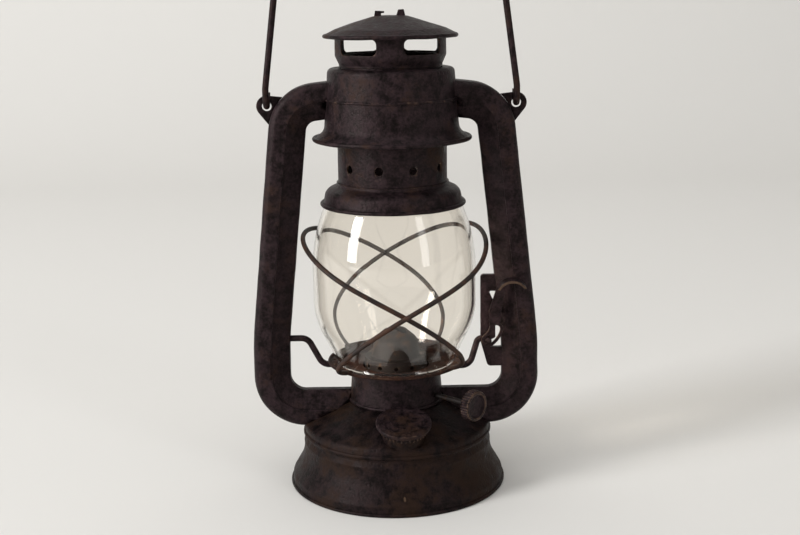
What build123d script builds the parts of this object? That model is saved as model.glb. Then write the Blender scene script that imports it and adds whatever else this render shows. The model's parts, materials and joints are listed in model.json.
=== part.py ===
from build123d import *
import os
from math import atan2, cos, radians, sin, sqrt, tan

# A small tubular kerosene lantern. Millimetres, +Z up, the front looks along -Y,
# the globe lever is on the right (+X), the origin is under the middle of the base.

# Stock
sheet = 0.8
heavy_sheet = 1.2
lap_gap = 0.05
seat_gap = 0.4
running_gap = 0.06
roll_radius = 0.9
bead_radius = 0.7

# Fount: the flared skirt, its bottom and the dome
base_radius = 55.8
foot_flat = 0.2
foot_height = 5.2
foot_inset = 1.2
foot_bend = 3.0
skirt_radius = 48.0
flare_height = 17.5
flare_ease = 5.5
skirt_height = 26.0
seam_step = 0.5
bottom_emboss_radius = 40.0
bottom_emboss_rise = 1.6
dome_rise = 17.0
shoulder_rise = 5.8
dome_flat_radius = 24.6
dome_top_bend = 2.0
shoulder_bend = 3.0

# Filler on the front of the dome
filler_azimuth = 5.0
filler_tilt = 15.0
filler_inset = 10.0
cap_lift_over_dome = 2.9
cap_radius = 13.7
cap_height = 4.8
cap_flange = 2.2
cap_skirt_radius = 11.9
cap_inset_radius = 9.6
cap_inset_depth = 0.5
filler_neck_radius = 10.4
filler_neck_depth = 9.0
gasket_height = 1.0
gasket_clearance = 0.3

# Air chamber between the dome and the globe plate
chamber_height = 18.0
chamber_top_radius = 22.6
chamber_foot_radius = 23.8
chamber_mouth_radius = 18.5
chamber_bend = 1.4
port_width = 9.0
port_height = 2.0
port_rise = 3.4

# Globe plate
plate_inset = 6.4
plate_hole_radius = 17.2
plate_seat_width = 8.4
plate_step_run = 1.2
plate_step_rise = 1.8
plate_roll_radius = 0.8
vent_hole_radius = 0.8
vent_hole_inset = 3.3
vent_hole_count = 24

# Globe
globe_wall = 2.0
globe_mouth_inset = 11.5
globe_radius = 41.4
globe_top_inset = 8.8
globe_hip_inset = 4.4
globe_hip_height = 15.0
globe_belly_low = 33.0
globe_belly_high = 48.0
globe_height = 85.2

# Chimney: cap, perforated collar, tube and vent
cap_overlap = 4.0
bell_overhang = 3.9
bell_height = 10.4
bell_lip = 1.0
bell_wall_overhang = 2.0
bell_wall_rise = 2.6
bell_shoulder_overhang = 1.0
bell_shoulder_rise = 7.8
bell_shoulder_bend = 4.2
bell_bend = 1.6
collar_radius = 27.2
collar_lap = 1.4
collar_bend = 1.2
collar_hole_radius = 2.15
collar_hole_count = 10
collar_hole_azimuth = -14.0
collar_hole_rise = 9.6
collar_show = 21.9
collar_tuck = 8.5
chimney_radius = 24.6
vent_gap = 0.9
vent_radius = 27.3
vent_bowl_height = 5.0
vent_bowl_bend = 3.0
vent_wall_height = 13.4
window_azimuth = 37.2
window_width = 21.6
window_height = 7.6
window_corner = 2.6
roof_radius = 33.2
roof_kink_radius = 27.8
roof_kink_rise = 3.9
roof_rise = 9.2
roof_crown_radius = 8.0
roof_crown_bend = 6.0
roof_kink_bend = 3.0
roof_roll_radius = 1.3
lug_spacing = 11.0
lug_width = 6.0
lug_thickness = 2.2
lug_side_angle = 78.0
lug_rise = 3.4

# Hood
hood_height = 35.7
hood_top_radius = 31.2
hood_waist_radius = 33.6
hood_waist_rise = 5.2
hood_roll_radius = 1.1
hood_brim_radius = 39.7
hood_bead_rise = 19.0
hood_mouth_gap = 0.8
hood_top_bend = 2.4
hood_flare_bend = 5.0
hood_port_width = 12.0
hood_port_height = 13.0
hood_port_corner = 2.0

# Side tubes, each from two pressed halves
tube_half_width = 9.2
tube_half_depth = 8.0
tube_edge_radius = 4.2
tube_blunt = 2.6
tube_lap = 2.2
tube_fold = 2.0
tube_crease = 1.6
tube_start_inset = 4.2
upper_arm_rise = 20.5
upper_corner_reach = 50.6
upper_corner_rise = 18.0
upper_bend = 15.0
knee_clearance = 22.2
knee_rise = 36.5
knee_bend = 160.0
lower_corner_spread = 0.3
lower_arm_drop = 3.5
lower_bend = 17.0
tube_end_inset = 10.6

# Bail and its ears
bail_wire = 3.2
ear_overhang = 11.0
ear_rise = 17.5
ear_radius = 5.2
ear_hole_radius = 2.4
ear_thickness = 1.6
ear_upper_root = (-9.6, 3.4)
ear_lower_root = (-2.0, -9.6)
bail_hook_tail = 2.6
bail_foot = 5.0
bail_lean = 7.6
bail_height = 142.0
bail_crown_bend = 42.0
bail_foot_bend = 18.0

# Globe carriage wires
lift_wire = 3.2
lift_wire_rise = 14.2
lift_wire_under = 5.5
lift_wire_out = 2.8
left_wire_run = 7.4
right_wire_run = 4.2
lift_wire_bend = 5.6
left_wire_entry = 4.7
right_wire_front = 5.5
right_wire_hook_bend = 2.6
guard_wire = 2.4
guard_turn = 5.5
guard_lean = 0.13
guard_stand_off = 4.6
guard_spacing = 2.8
guard_foot_inset = 3.1
guard_foot_turn = 140.0
guard_ankle_turn = 128.5
guard_ankle_out = 0.9
guard_ankle_rise = 14.0
guard_cross_turn = 90.0
guard_cross_rise = 40.0
guard_shoulder_turn = 50.5
guard_shoulder_out = 3.3
guard_shoulder_rise = 57.0
guard_bight_rise = 64.5
guard_bight_gap = 0.9
lift_travel = 6.5

# Lever and its bracket on the right tube
bracket_width = 10.7
bracket_thickness = 2.4
bracket_web = 4.2
bracket_low = 20.6
bracket_height = 48.3
bracket_leg = 10.2
bracket_head = 8.6
bracket_toe = 3.6
bracket_slant = 13.0
bracket_top_bend = 1.8
bracket_slant_bend = 8.0
bracket_toe_bend = 2.2
bracket_window_bend = 0.7
bracket_waist = 7.6
bracket_step = 5.0
bracket_eye = 3.2
bracket_eye_width = 4.6
bracket_front = 2.4
lever_pivot_inset = 6.9
lever_pivot_rise = 29.6
lever_front = 8.6
lever_swing = 26.0
lever_pin_radius = 1.2
lever_boss_radius = 2.2
lever_eye_radius = 3.1
lever_slot_wall = 1.5
lever_slot_gap = 0.4
tab_left = (0.9, 13.2)
tab_top = (8.0, 17.6)
tab_right = (15.2, 13.8)
tab_root = (5.6, 15.6)
arm_heel = (2.4, -8.6)
arm_toe = (-2.6, -8.6)
tab_depth = 8.5

# Burner and wick
burner_azimuth = 46.0
collar_bore = 11.6
collar_wall = 1.2
collar_flange = 15.4
collar_flange_height = 1.2
collar_depth = 4.0
burner_cup_radius = 13.4
burner_rim_radius = 16.0
burner_rim_rise = 22.0
burner_neck_rise = 13.0
burner_flare = 3.0
burner_bend = 2.0
draught_hole_radius = 1.1
draught_hole_drop = 2.6
draught_hole_count = 12
cone_height = 14.2
cone_radius = 12.4
cone_taper = 1.2
cone_shoulder = 8.8
cone_crown_radius = 5.0
cone_crown_bend = 3.0
cone_shoulder_bend = 5.0
cone_slot_length = 13.6
cone_slot_width = 5.0
wick_width = 11.0
wick_thickness = 2.0
wick_gap = 0.3
wick_tube_wall = 0.5
wick_tube_drop = 2.6
wick_show = 1.6
wick_reach = 31.0
wheel_radius = 3.2
wheel_teeth = 10
wheel_notch_radius = 0.64
wheel_thickness = 1.2
wheel_spacing = 6.0
wheel_gap = 0.2
shaft_radius = 1.3
shaft_rise = 5.4
shaft_inner = 7.0
knob_reach = 51.4
knob_radius = 7.4
knob_thickness = 5.0
knob_dish_radius = 5.4
knob_dish_depth = 1.4

# Chimney spring
spring_wire = 1.4
spring_clearance = 0.7
spring_turns = 4

# Radii that follow the globe
globe_mouth_radius = globe_radius - globe_mouth_inset
globe_hip_radius = globe_radius - globe_hip_inset
globe_top_radius = globe_radius - globe_top_inset
bell_radius = globe_top_radius + bell_overhang
bell_wall_radius = globe_top_radius + bell_wall_overhang
bell_shoulder_radius = globe_top_radius + bell_shoulder_overhang
plate_radius = globe_radius - plate_inset
plate_floor_radius = plate_radius - plate_seat_width
vent_hole_ring = plate_radius - vent_hole_inset
knee_reach = globe_radius + knee_clearance
lower_corner_reach = knee_reach + lower_corner_spread

# Heights stacked from the floor
dome_top = skirt_height + dome_rise
chamber_top = dome_top + chamber_height
plate_floor = chamber_top + seat_gap + sheet
plate_seat = plate_floor + plate_step_rise
globe_top = plate_seat + globe_height
bell_rim = globe_top - cap_overlap
bell_top = bell_rim + bell_height
hood_rim = bell_top + collar_show
hood_top = hood_rim + hood_height
vent_low = hood_top + vent_gap
vent_brim = vent_low + vent_wall_height
roof_kink = vent_brim + roof_kink_rise
roof_top = vent_brim + roof_rise

os.makedirs("parts", exist_ok=True)


def save(piece, label):
    """Name a finished piece and write it."""
    piece.part.label = label
    export_step(piece.part, f"parts/{label}.step")


def outwards(azimuth):
    """Level direction, in degrees to the right of the front."""
    return Vector(sin(radians(azimuth)), -cos(radians(azimuth)), 0)


def facing(azimuth, height, aside=0.0):
    """Upright plane through the lamp's axis that looks outwards."""
    right = outwards(azimuth + 90)
    return Plane(origin=right * aside + Vector(0, 0, height), x_dir=right, z_dir=outwards(azimuth))


def turned_sheet(outline, bends, wall=sheet):
    """Section of a spun sheet: its outer outline, thickened towards the axis."""
    with BuildSketch(Plane.XZ) as section:
        with BuildLine():
            FilletPolyline(*outline, radius=bends)
            offset(amount=wall, side=Side.RIGHT)
        make_face()
    return section.sketch


def turned_block(outline, bends):
    """Section of the whole space inside a spun outline, down to the axis."""
    with BuildSketch(Plane.XZ) as section:
        with BuildLine():
            rim = FilletPolyline(*outline, radius=bends)
            corners = [rim @ 1, (0, (rim @ 1).Y), (0, (rim @ 0).Y)]
            if outline[0][0] > 0:
                corners.append(rim @ 0)
            Polyline(*corners)
        make_face()
    return section.sketch


def turned_roll(radius, height, roll):
    """Section of a rolled edge or a bead."""
    with BuildSketch(Plane.XZ) as section:
        with Locations((radius, height)):
            Circle(roll)
    return section.sketch


# Fount

skirt_outline = [
    (skirt_radius, skirt_height),
    (skirt_radius, flare_height),
    (base_radius - foot_inset, foot_height),
    (base_radius - roll_radius, roll_radius),
]
flare_turn = atan2(base_radius - foot_inset - skirt_radius, flare_height - foot_height)
flare_bend = flare_ease / tan(flare_turn / 2)
skirt_bends = [flare_bend, foot_bend]
dome_outline = [
    (collar_bore + collar_wall, dome_top),
    (dome_flat_radius, dome_top),
    (skirt_radius - seam_step, skirt_height + shoulder_rise),
    (skirt_radius, skirt_height + 2 * seam_step),
    (skirt_radius, skirt_height),
]
dome_bends = [dome_top_bend, shoulder_bend, seam_step]
dome_slope = (dome_rise - shoulder_rise) / (skirt_radius - seam_step - dome_flat_radius)

filler_out = outwards(filler_azimuth)
filler_radius = skirt_radius - filler_inset
filler_height = dome_top - (filler_radius - dome_flat_radius) * dome_slope
filler_axis = filler_out * sin(radians(filler_tilt)) + Vector(0, 0, cos(radians(filler_tilt)))
filler_seat = filler_out * filler_radius + Vector(0, 0, filler_height)
filler_plane = Plane(
    origin=filler_seat + filler_axis * cap_lift_over_dome,
    x_dir=outwards(filler_azimuth + 90),
    z_dir=filler_axis,
)
cap_ceiling = cap_height - sheet
neck_lip = cap_ceiling - gasket_height - 2 * gasket_clearance

with BuildPart() as fount_skirt:
    revolve(turned_sheet(skirt_outline, skirt_bends), axis=Axis.Z)
    revolve(turned_roll(base_radius - roll_radius, roll_radius - foot_flat, roll_radius), axis=Axis.Z)
    split(bisect_by=Plane.XY, keep=Keep.TOP)

bottom_radius = base_radius - 2 * roll_radius - lap_gap
with BuildPart() as fount_bottom:
    revolve(
        turned_sheet(
            [
                (0, roll_radius * 2 + bottom_emboss_rise + sheet),
                (bottom_emboss_radius, roll_radius * 2 + bottom_emboss_rise + sheet),
                (bottom_emboss_radius + bottom_emboss_rise, roll_radius * 2 + sheet),
                (bottom_radius, roll_radius * 2 + sheet),
            ],
            [sheet, sheet],
        ),
        axis=Axis.Z,
    )

with BuildPart() as fount_dome:
    revolve(turned_sheet(dome_outline, dome_bends), axis=Axis.Z)
    revolve(turned_roll(skirt_radius, skirt_height + 3 * bead_radius, bead_radius), axis=Axis.Z)
    with BuildSketch(filler_plane):
        Circle(filler_neck_radius)
    extrude(amount=filler_neck_depth, both=True, mode=Mode.SUBTRACT)

with BuildPart() as filler_neck:
    with BuildSketch(filler_plane.offset(neck_lip)):
        Circle(filler_neck_radius)
        Circle(filler_neck_radius - sheet, mode=Mode.SUBTRACT)
    extrude(amount=-filler_neck_depth)

with BuildPart() as burner_collar:
    with BuildSketch(Plane.XY.offset(dome_top)):
        Circle(collar_flange)
        Circle(collar_bore, mode=Mode.SUBTRACT)
    extrude(amount=collar_flange_height)
    with BuildSketch(Plane.XY.offset(dome_top)):
        Circle(collar_bore + collar_wall)
        Circle(collar_bore, mode=Mode.SUBTRACT)
    extrude(amount=-collar_depth)

# Filler cap and its gasket

with BuildPart() as filler_cap:
    with BuildSketch(filler_plane.offset(cap_height)):
        Circle(cap_radius)
    extrude(amount=-cap_flange)
    fillet(filler_cap.edges(), radius=sheet)
    with BuildSketch(filler_plane):
        Circle(cap_skirt_radius)
    extrude(amount=cap_height - cap_flange / 2)
    with BuildSketch(filler_plane):
        Circle(cap_skirt_radius - sheet)
    extrude(amount=cap_ceiling, mode=Mode.SUBTRACT)
    with BuildSketch(filler_plane.offset(cap_height)):
        Circle(cap_inset_radius + cap_inset_depth)
        Circle(cap_inset_radius, mode=Mode.SUBTRACT)
    extrude(amount=-cap_inset_depth, mode=Mode.SUBTRACT)

with BuildPart() as cap_gasket:
    with BuildSketch(filler_plane.offset(neck_lip + gasket_clearance)):
        Circle(filler_neck_radius)
        Circle(filler_neck_radius - 3 * sheet, mode=Mode.SUBTRACT)
    extrude(amount=gasket_height)

# Air chamber

chamber_outline = [
    (chamber_mouth_radius, chamber_top),
    (chamber_top_radius, chamber_top),
    (chamber_foot_radius, dome_top + 2 * roll_radius),
    (chamber_foot_radius, dome_top),
]
chamber_bends = [chamber_bend, chamber_bend]
shaft_height = dome_top + shaft_rise
shaft_aside = wick_thickness / 2 + wheel_gap + wheel_radius
shaft_plane = facing(burner_azimuth, shaft_height, shaft_aside)

with BuildPart() as air_chamber:
    revolve(turned_sheet(chamber_outline, chamber_bends), axis=Axis.Z)
    revolve(turned_roll(chamber_foot_radius, dome_top + roll_radius, roll_radius), axis=Axis.Z)
    with BuildSketch(facing(90, dome_top + port_rise)):
        Rectangle(port_width, port_height)
    extrude(amount=chamber_foot_radius * 2, both=True, mode=Mode.SUBTRACT)
    with BuildSketch(shaft_plane):
        Circle(shaft_radius + running_gap)
    extrude(amount=chamber_foot_radius * 2, mode=Mode.SUBTRACT)

# Hood

hood_outline = [
    (chimney_radius + hood_mouth_gap, hood_top),
    (hood_top_radius, hood_top),
    (hood_waist_radius, hood_rim + hood_waist_rise),
    (hood_brim_radius - hood_roll_radius, hood_rim + hood_roll_radius),
]
hood_bends = [hood_top_bend, hood_flare_bend]
hood_arm_height = hood_rim + (upper_arm_rise + upper_corner_rise) / 2

with BuildPart() as hood:
    revolve(turned_sheet(hood_outline, hood_bends), axis=Axis.Z)
    revolve(
        turned_roll(hood_brim_radius - hood_roll_radius, hood_rim + hood_roll_radius, hood_roll_radius),
        axis=Axis.Z,
    )
    hood_bead_radius = hood_waist_radius - (hood_waist_radius - hood_top_radius) * (
        (hood_bead_rise - hood_waist_rise) / (hood_height - hood_waist_rise)
    )
    revolve(turned_roll(hood_bead_radius, hood_rim + hood_bead_rise, bead_radius), axis=Axis.Z)
    with BuildSketch(facing(90, hood_arm_height)):
        RectangleRounded(hood_port_width, hood_port_height, radius=hood_port_corner)
    extrude(amount=hood_brim_radius * 2, both=True, mode=Mode.SUBTRACT)

# Spaces that the tube ends are trimmed to

with BuildPart() as hood_space:
    revolve(turned_block(hood_outline, hood_bends), axis=Axis.Z)
    revolve(turned_roll(hood_bead_radius, hood_rim + hood_bead_rise, bead_radius), axis=Axis.Z)

with BuildPart() as fount_space:
    revolve(turned_block(dome_outline, dome_bends), axis=Axis.Z)
    revolve(turned_block(chamber_outline, chamber_bends), axis=Axis.Z)
    revolve(turned_roll(chamber_foot_radius, dome_top + roll_radius, roll_radius), axis=Axis.Z)
    revolve(turned_roll(skirt_radius, skirt_height + 3 * bead_radius, bead_radius), axis=Axis.Z)

# Side tubes

lower_arm_height = dome_top - lower_arm_drop
with BuildLine(Plane.XZ) as tube_route:
    FilletPolyline(
        (hood_top_radius - tube_start_inset, hood_rim + upper_arm_rise),
        (upper_corner_reach, hood_rim + upper_corner_rise),
        (knee_reach, lower_arm_height + knee_rise),
        (lower_corner_reach, lower_arm_height),
        (chamber_top_radius - tube_end_inset, lower_arm_height),
        radius=[upper_bend, knee_bend, lower_bend],
    )
tube_along = tube_route.line % 0
tube_plane = Plane(
    origin=tube_route.line @ 0, x_dir=Vector(-tube_along.Z, 0, tube_along.X), z_dir=tube_along
)
inner_half_depth = tube_half_depth - sheet - lap_gap
outer_half_outline = [
    (0, tube_half_depth),
    (tube_half_width, tube_half_depth),
    (tube_half_width, -tube_half_depth),
    (0, -tube_half_depth),
]
inner_half_outline = [
    (tube_lap, inner_half_depth),
    (0, inner_half_depth),
    (-tube_half_width, tube_blunt),
    (-tube_half_width, -tube_blunt),
    (0, -inner_half_depth),
    (tube_lap, -inner_half_depth),
]

tube_halves = [
    (outer_half_outline, [tube_edge_radius, tube_edge_radius]),
    (inner_half_outline, [tube_fold, tube_crease, tube_crease, tube_fold]),
]

leg_slope = (knee_reach - upper_corner_reach) / (
    hood_rim + upper_corner_rise - lower_arm_height - knee_rise
)


def leg_inner_face(height):
    """Distance from the lamp's axis to the inner face of a leaning tube leg."""
    centre = knee_reach - max(height - lower_arm_height - knee_rise, 0) * leg_slope
    return centre - tube_half_width * sqrt(1 + leg_slope**2)


wire_height = plate_seat + lift_wire_rise - sheet - lift_wire / 2

with BuildPart() as right_tube_outer:
    with BuildSketch(tube_plane):
        with BuildLine():
            FilletPolyline(*outer_half_outline, radius=tube_edge_radius)
            offset(amount=sheet, side=Side.RIGHT)
        make_face()
    sweep(path=tube_route.line)
    add(hood_space.part, mode=Mode.SUBTRACT)
    add(fount_space.part, mode=Mode.SUBTRACT)

with BuildPart() as right_tube_inner:
    with BuildSketch(tube_plane):
        with BuildLine():
            FilletPolyline(*inner_half_outline, radius=[tube_fold, tube_crease, tube_crease, tube_fold])
            offset(amount=sheet, side=Side.LEFT)
        make_face()
    sweep(path=tube_route.line)
    add(hood_space.part, mode=Mode.SUBTRACT)
    add(fount_space.part, mode=Mode.SUBTRACT)

with BuildPart() as left_tube_outer:
    mirror(right_tube_outer.part, about=Plane.YZ)

with BuildPart() as left_tube_inner:
    mirror(right_tube_inner.part, about=Plane.YZ)
    with BuildSketch(facing(-90, wire_height + lift_travel / 2)):
        SlotOverall(lift_travel + lift_wire + 2 * seat_gap, lift_wire + 2 * seat_gap, rotation=90)
    extrude(amount=knee_reach, mode=Mode.SUBTRACT)

# Ears for the bail

ear_reach = upper_corner_reach + ear_overhang
ear_height = hood_rim + ear_rise
with BuildPart() as tube_space:
    with BuildSketch(tube_plane):
        for outline, bends in tube_halves:
            with BuildLine():
                FilletPolyline(*outline, radius=bends)
                Line(outline[-1], outline[0])
            make_face()
    sweep(path=tube_route.line)

with BuildPart() as right_ear:
    with BuildSketch(Plane.XZ.offset(ear_thickness / 2)):
        with Locations((ear_reach, ear_height)):
            Circle(ear_radius)
            with Locations(ear_upper_root, ear_lower_root):
                Circle(sheet)
        make_hull()
        with Locations((ear_reach, ear_height)):
            Circle(ear_hole_radius, mode=Mode.SUBTRACT)
    extrude(amount=-ear_thickness)
    add(tube_space.part, mode=Mode.SUBTRACT)

with BuildPart() as left_ear:
    mirror(right_ear.part, about=Plane.YZ)

# Bail: each end hooks through its ear and turns round the ear's rim

hook_radius = (ear_radius + ear_hole_radius) / 2
bail_axis_height = ear_height + hook_radius
bail_crown = bail_axis_height + bail_height
bail_shoulder = ear_reach - (bail_height - bail_foot) * sin(radians(bail_lean)) / cos(radians(bail_lean))

with BuildLine() as bail_route:
    for side in (1, -1):
        Line(
            (side * ear_reach, hook_radius, bail_axis_height + bail_hook_tail),
            (side * ear_reach, hook_radius, bail_axis_height),
        )
        ThreePointArc(
            (side * ear_reach, hook_radius, bail_axis_height),
            (side * ear_reach, 0, ear_height),
            (side * ear_reach, -hook_radius, bail_axis_height),
        )
    FilletPolyline(
        (ear_reach, -hook_radius, bail_axis_height),
        (ear_reach, -hook_radius, bail_axis_height + bail_foot),
        (bail_shoulder, -hook_radius, bail_crown),
        (-bail_shoulder, -hook_radius, bail_crown),
        (-ear_reach, -hook_radius, bail_axis_height + bail_foot),
        (-ear_reach, -hook_radius, bail_axis_height),
        radius=[bail_foot_bend, bail_crown_bend, bail_crown_bend, bail_foot_bend],
    )

bail_path = Wire(bail_route.line.edges())
with BuildPart() as bail:
    with BuildSketch(Plane(origin=bail_path @ 0, z_dir=bail_path % 0)):
        Circle(bail_wire / 2)
    sweep(path=bail_path)

# Globe plate with its ring of air holes

with BuildPart() as globe_plate:
    revolve(
        turned_sheet(
            [
                (plate_hole_radius, plate_floor),
                (plate_floor_radius, plate_floor),
                (plate_floor_radius + plate_step_run, plate_seat),
                (plate_radius - plate_roll_radius, plate_seat),
            ],
            [sheet, sheet],
        ),
        axis=Axis.Z,
    )
    revolve(turned_roll(plate_radius - plate_roll_radius, plate_seat, plate_roll_radius), axis=Axis.Z)
    with BuildSketch(Plane.XY.offset(plate_seat)):
        with PolarLocations(vent_hole_ring, vent_hole_count):
            Circle(vent_hole_radius)
    extrude(amount=2 * sheet, both=True, mode=Mode.SUBTRACT)

# Glass globe

with BuildPart() as globe:
    with BuildSketch(Plane.XZ):
        with BuildLine():
            Line((globe_mouth_radius, plate_seat), (globe_hip_radius, plate_seat + globe_hip_height))
            TangentArc(
                (globe_radius, plate_seat + globe_belly_low),
                (globe_hip_radius, plate_seat + globe_hip_height),
                tangent=(0, -1),
            )
            Line(
                (globe_radius, plate_seat + globe_belly_low),
                (globe_radius, plate_seat + globe_belly_high),
            )
            TangentArc(
                (globe_radius, plate_seat + globe_belly_high), (globe_top_radius, globe_top), tangent=(0, 1)
            )
            offset(amount=globe_wall, side=Side.LEFT)
        make_face()
    revolve(axis=Axis.Z)
    with BuildSketch(Plane.XY.offset(plate_seat)):
        Circle(globe_radius)
    extrude(amount=-globe_wall, mode=Mode.SUBTRACT)

# Wires of the globe carriage

wire_under = plate_seat - sheet - lift_wire / 2
wire_inner = plate_radius - lift_wire_under
wire_foot = plate_radius + lift_wire_out
with BuildLine() as left_wire_route:
    FilletPolyline(
        (-leg_inner_face(wire_height) - left_wire_entry, 0, wire_height),
        (-wire_foot - left_wire_run, 0, wire_height),
        (-wire_foot, 0, wire_under),
        (-wire_inner, 0, wire_under),
        radius=lift_wire_bend,
    )
with BuildPart() as left_lift_wire:
    with BuildSketch(Plane(origin=left_wire_route.line @ 0, z_dir=left_wire_route.line % 0)):
        Circle(lift_wire / 2)
    sweep(path=left_wire_route.line)

bracket_reach = leg_inner_face(wire_height) - bracket_width
lever_pivot_reach = bracket_reach + lever_pivot_inset
slot_pin_reach = bracket_reach + lever_slot_wall + lever_slot_gap + lift_wire / 2
lever_face = lever_front + heavy_sheet
hook_tip = lever_face + heavy_sheet
with BuildLine() as right_wire_route:
    FilletPolyline(
        (wire_inner, -right_wire_front, wire_under),
        (wire_foot, -right_wire_front, wire_under),
        (wire_foot + right_wire_run, -right_wire_front, wire_height),
        (slot_pin_reach, -right_wire_front, wire_height),
        (slot_pin_reach, -hook_tip, wire_height),
        radius=[lift_wire_bend, right_wire_hook_bend, right_wire_hook_bend],
    )
with BuildPart() as right_lift_wire:
    with BuildSketch(Plane(origin=right_wire_route.line @ 0, z_dir=right_wire_route.line % 0)):
        Circle(lift_wire / 2)
    sweep(path=right_wire_route.line)


guard_bight_height = plate_seat + guard_bight_rise
guard_bight_reach = leg_inner_face(guard_bight_height + lift_travel) - guard_wire / 2 - guard_bight_gap


def guard_station(turn, radius, rise):
    """Place on a guard wire, by its turn from the side that the loop leans to."""
    return Vector(radius * cos(radians(turn)), radius * sin(radians(turn)), plate_seat + rise)


def guard_loop(side, reach):
    """Smooth path of one guard wire, a loop that leans over to one side of the globe."""
    half = [
        guard_station(guard_foot_turn, plate_radius - guard_foot_inset, 0),
        guard_station(guard_ankle_turn, reach + guard_ankle_out, guard_ankle_rise),
        guard_station(guard_cross_turn, reach, guard_cross_rise),
        guard_station(guard_shoulder_turn, reach + guard_shoulder_out, guard_shoulder_rise),
    ]
    bight = Vector(guard_bight_reach, 0, guard_bight_height)
    route = [Vector(place.X, -place.Y, place.Z) for place in half] + [bight] + half[::-1]
    turned = []
    for place in route:
        lean = guard_lean * place.Y if place.Z > plate_seat else 0
        turned.append(Vector(side * place.X, place.Y, place.Z + lean).rotate(Axis.Z, guard_turn))
    with BuildLine() as loop:
        Spline(*turned)
    return loop.line


guard_inner_reach = globe_radius + guard_stand_off
guard_path_a = guard_loop(1, guard_inner_reach + guard_spacing)
guard_path_b = guard_loop(-1, guard_inner_reach)

with BuildPart() as guard_wire_a:
    with BuildSketch(Plane(origin=guard_path_a @ 0, z_dir=guard_path_a % 0)):
        Circle(guard_wire / 2)
    sweep(path=guard_path_a)
    with BuildSketch(Plane.XY.offset(plate_seat)):
        Circle(globe_radius)
    extrude(amount=-guard_wire, mode=Mode.SUBTRACT)
    add(globe_plate.part, mode=Mode.SUBTRACT)

with BuildPart() as guard_wire_b:
    with BuildSketch(Plane(origin=guard_path_b @ 0, z_dir=guard_path_b % 0)):
        Circle(guard_wire / 2)
    sweep(path=guard_path_b)
    with BuildSketch(Plane.XY.offset(plate_seat)):
        Circle(globe_radius)
    extrude(amount=-guard_wire, mode=Mode.SUBTRACT)
    add(globe_plate.part, mode=Mode.SUBTRACT)

# Bracket, pin and lever on the right tube

bracket_foot = dome_top - lower_arm_drop + bracket_low
bracket_top = bracket_foot + bracket_height
pivot_height = dome_top + lever_pivot_rise + chamber_height
bracket_plane = Plane.XZ.offset(bracket_front)
bracket_sill = bracket_foot + bracket_leg
bracket_lintel = bracket_top - bracket_head
bracket_arm = lever_boss_radius + heavy_sheet

with BuildPart() as lever_bracket:
    with BuildSketch(bracket_plane):
        with BuildLine():
            edge = FilletPolyline(
                (knee_reach, bracket_foot),
                (bracket_reach + bracket_toe, bracket_foot),
                (bracket_reach, bracket_foot + bracket_slant),
                (bracket_reach, bracket_top),
                (knee_reach, bracket_top),
                radius=[bracket_toe_bend, bracket_slant_bend, bracket_top_bend],
            )
            Line(edge @ 1, edge @ 0)
        make_face()
        with BuildLine():
            FilletPolyline(
                (knee_reach, bracket_sill),
                (bracket_reach + bracket_web, bracket_sill),
                (bracket_reach + bracket_web, bracket_sill + bracket_eye),
                (bracket_reach + bracket_waist, bracket_sill + bracket_step),
                (bracket_reach + bracket_waist, pivot_height - bracket_arm),
                (knee_reach, pivot_height - bracket_arm),
                radius=bracket_window_bend,
            )
            Line((knee_reach, pivot_height - bracket_arm), (knee_reach, bracket_sill))
        make_face(mode=Mode.SUBTRACT)
        with BuildLine():
            FilletPolyline(
                (bracket_reach + bracket_web, bracket_lintel),
                (bracket_reach + bracket_web + bracket_eye_width, bracket_lintel),
                (lever_pivot_reach, pivot_height + bracket_eye),
                radius=bracket_window_bend,
                close=True,
            )
        make_face(mode=Mode.SUBTRACT)
        with Locations((lever_pivot_reach, pivot_height)):
            Circle(lever_pin_radius, mode=Mode.SUBTRACT)
    extrude(amount=-bracket_thickness)
    add(tube_space.part, mode=Mode.SUBTRACT)
    split(bisect_by=Plane.YZ.offset(knee_reach - tube_half_width / 2), keep=Keep.BOTTOM)

with BuildPart() as lever_pin:
    with BuildSketch(bracket_plane.offset(-bracket_thickness - sheet)):
        with Locations((lever_pivot_reach, pivot_height)):
            Circle(lever_boss_radius)
    extrude(amount=sheet)
    with BuildSketch(bracket_plane.offset(-bracket_thickness)):
        with Locations((lever_pivot_reach, pivot_height)):
            Circle(lever_pin_radius)
    extrude(amount=lever_face - bracket_front + bracket_thickness + 2 * seat_gap)
    with BuildSketch(bracket_plane):
        with Locations((lever_pivot_reach, pivot_height)):
            Circle(lever_boss_radius)
    extrude(amount=lever_front - bracket_front - seat_gap)
    with BuildSketch(Plane.XZ.offset(lever_face + seat_gap)):
        with Locations((lever_pivot_reach, pivot_height)):
            Circle(lever_boss_radius)
    extrude(amount=sheet)


def slot_point(share):
    """Place in the lever, at rest, that meets the wire after a share of the lift."""
    run = slot_pin_reach - lever_pivot_reach
    drop = wire_height + share * lift_travel - pivot_height
    turn = radians(share * lever_swing)
    return (
        lever_pivot_reach + run * cos(turn) - drop * sin(turn),
        pivot_height + run * sin(turn) + drop * cos(turn),
    )


def from_pivot(place):
    """Place in the lever's plane, given from its pivot."""
    return (lever_pivot_reach + place[0], pivot_height + place[1])


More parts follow.
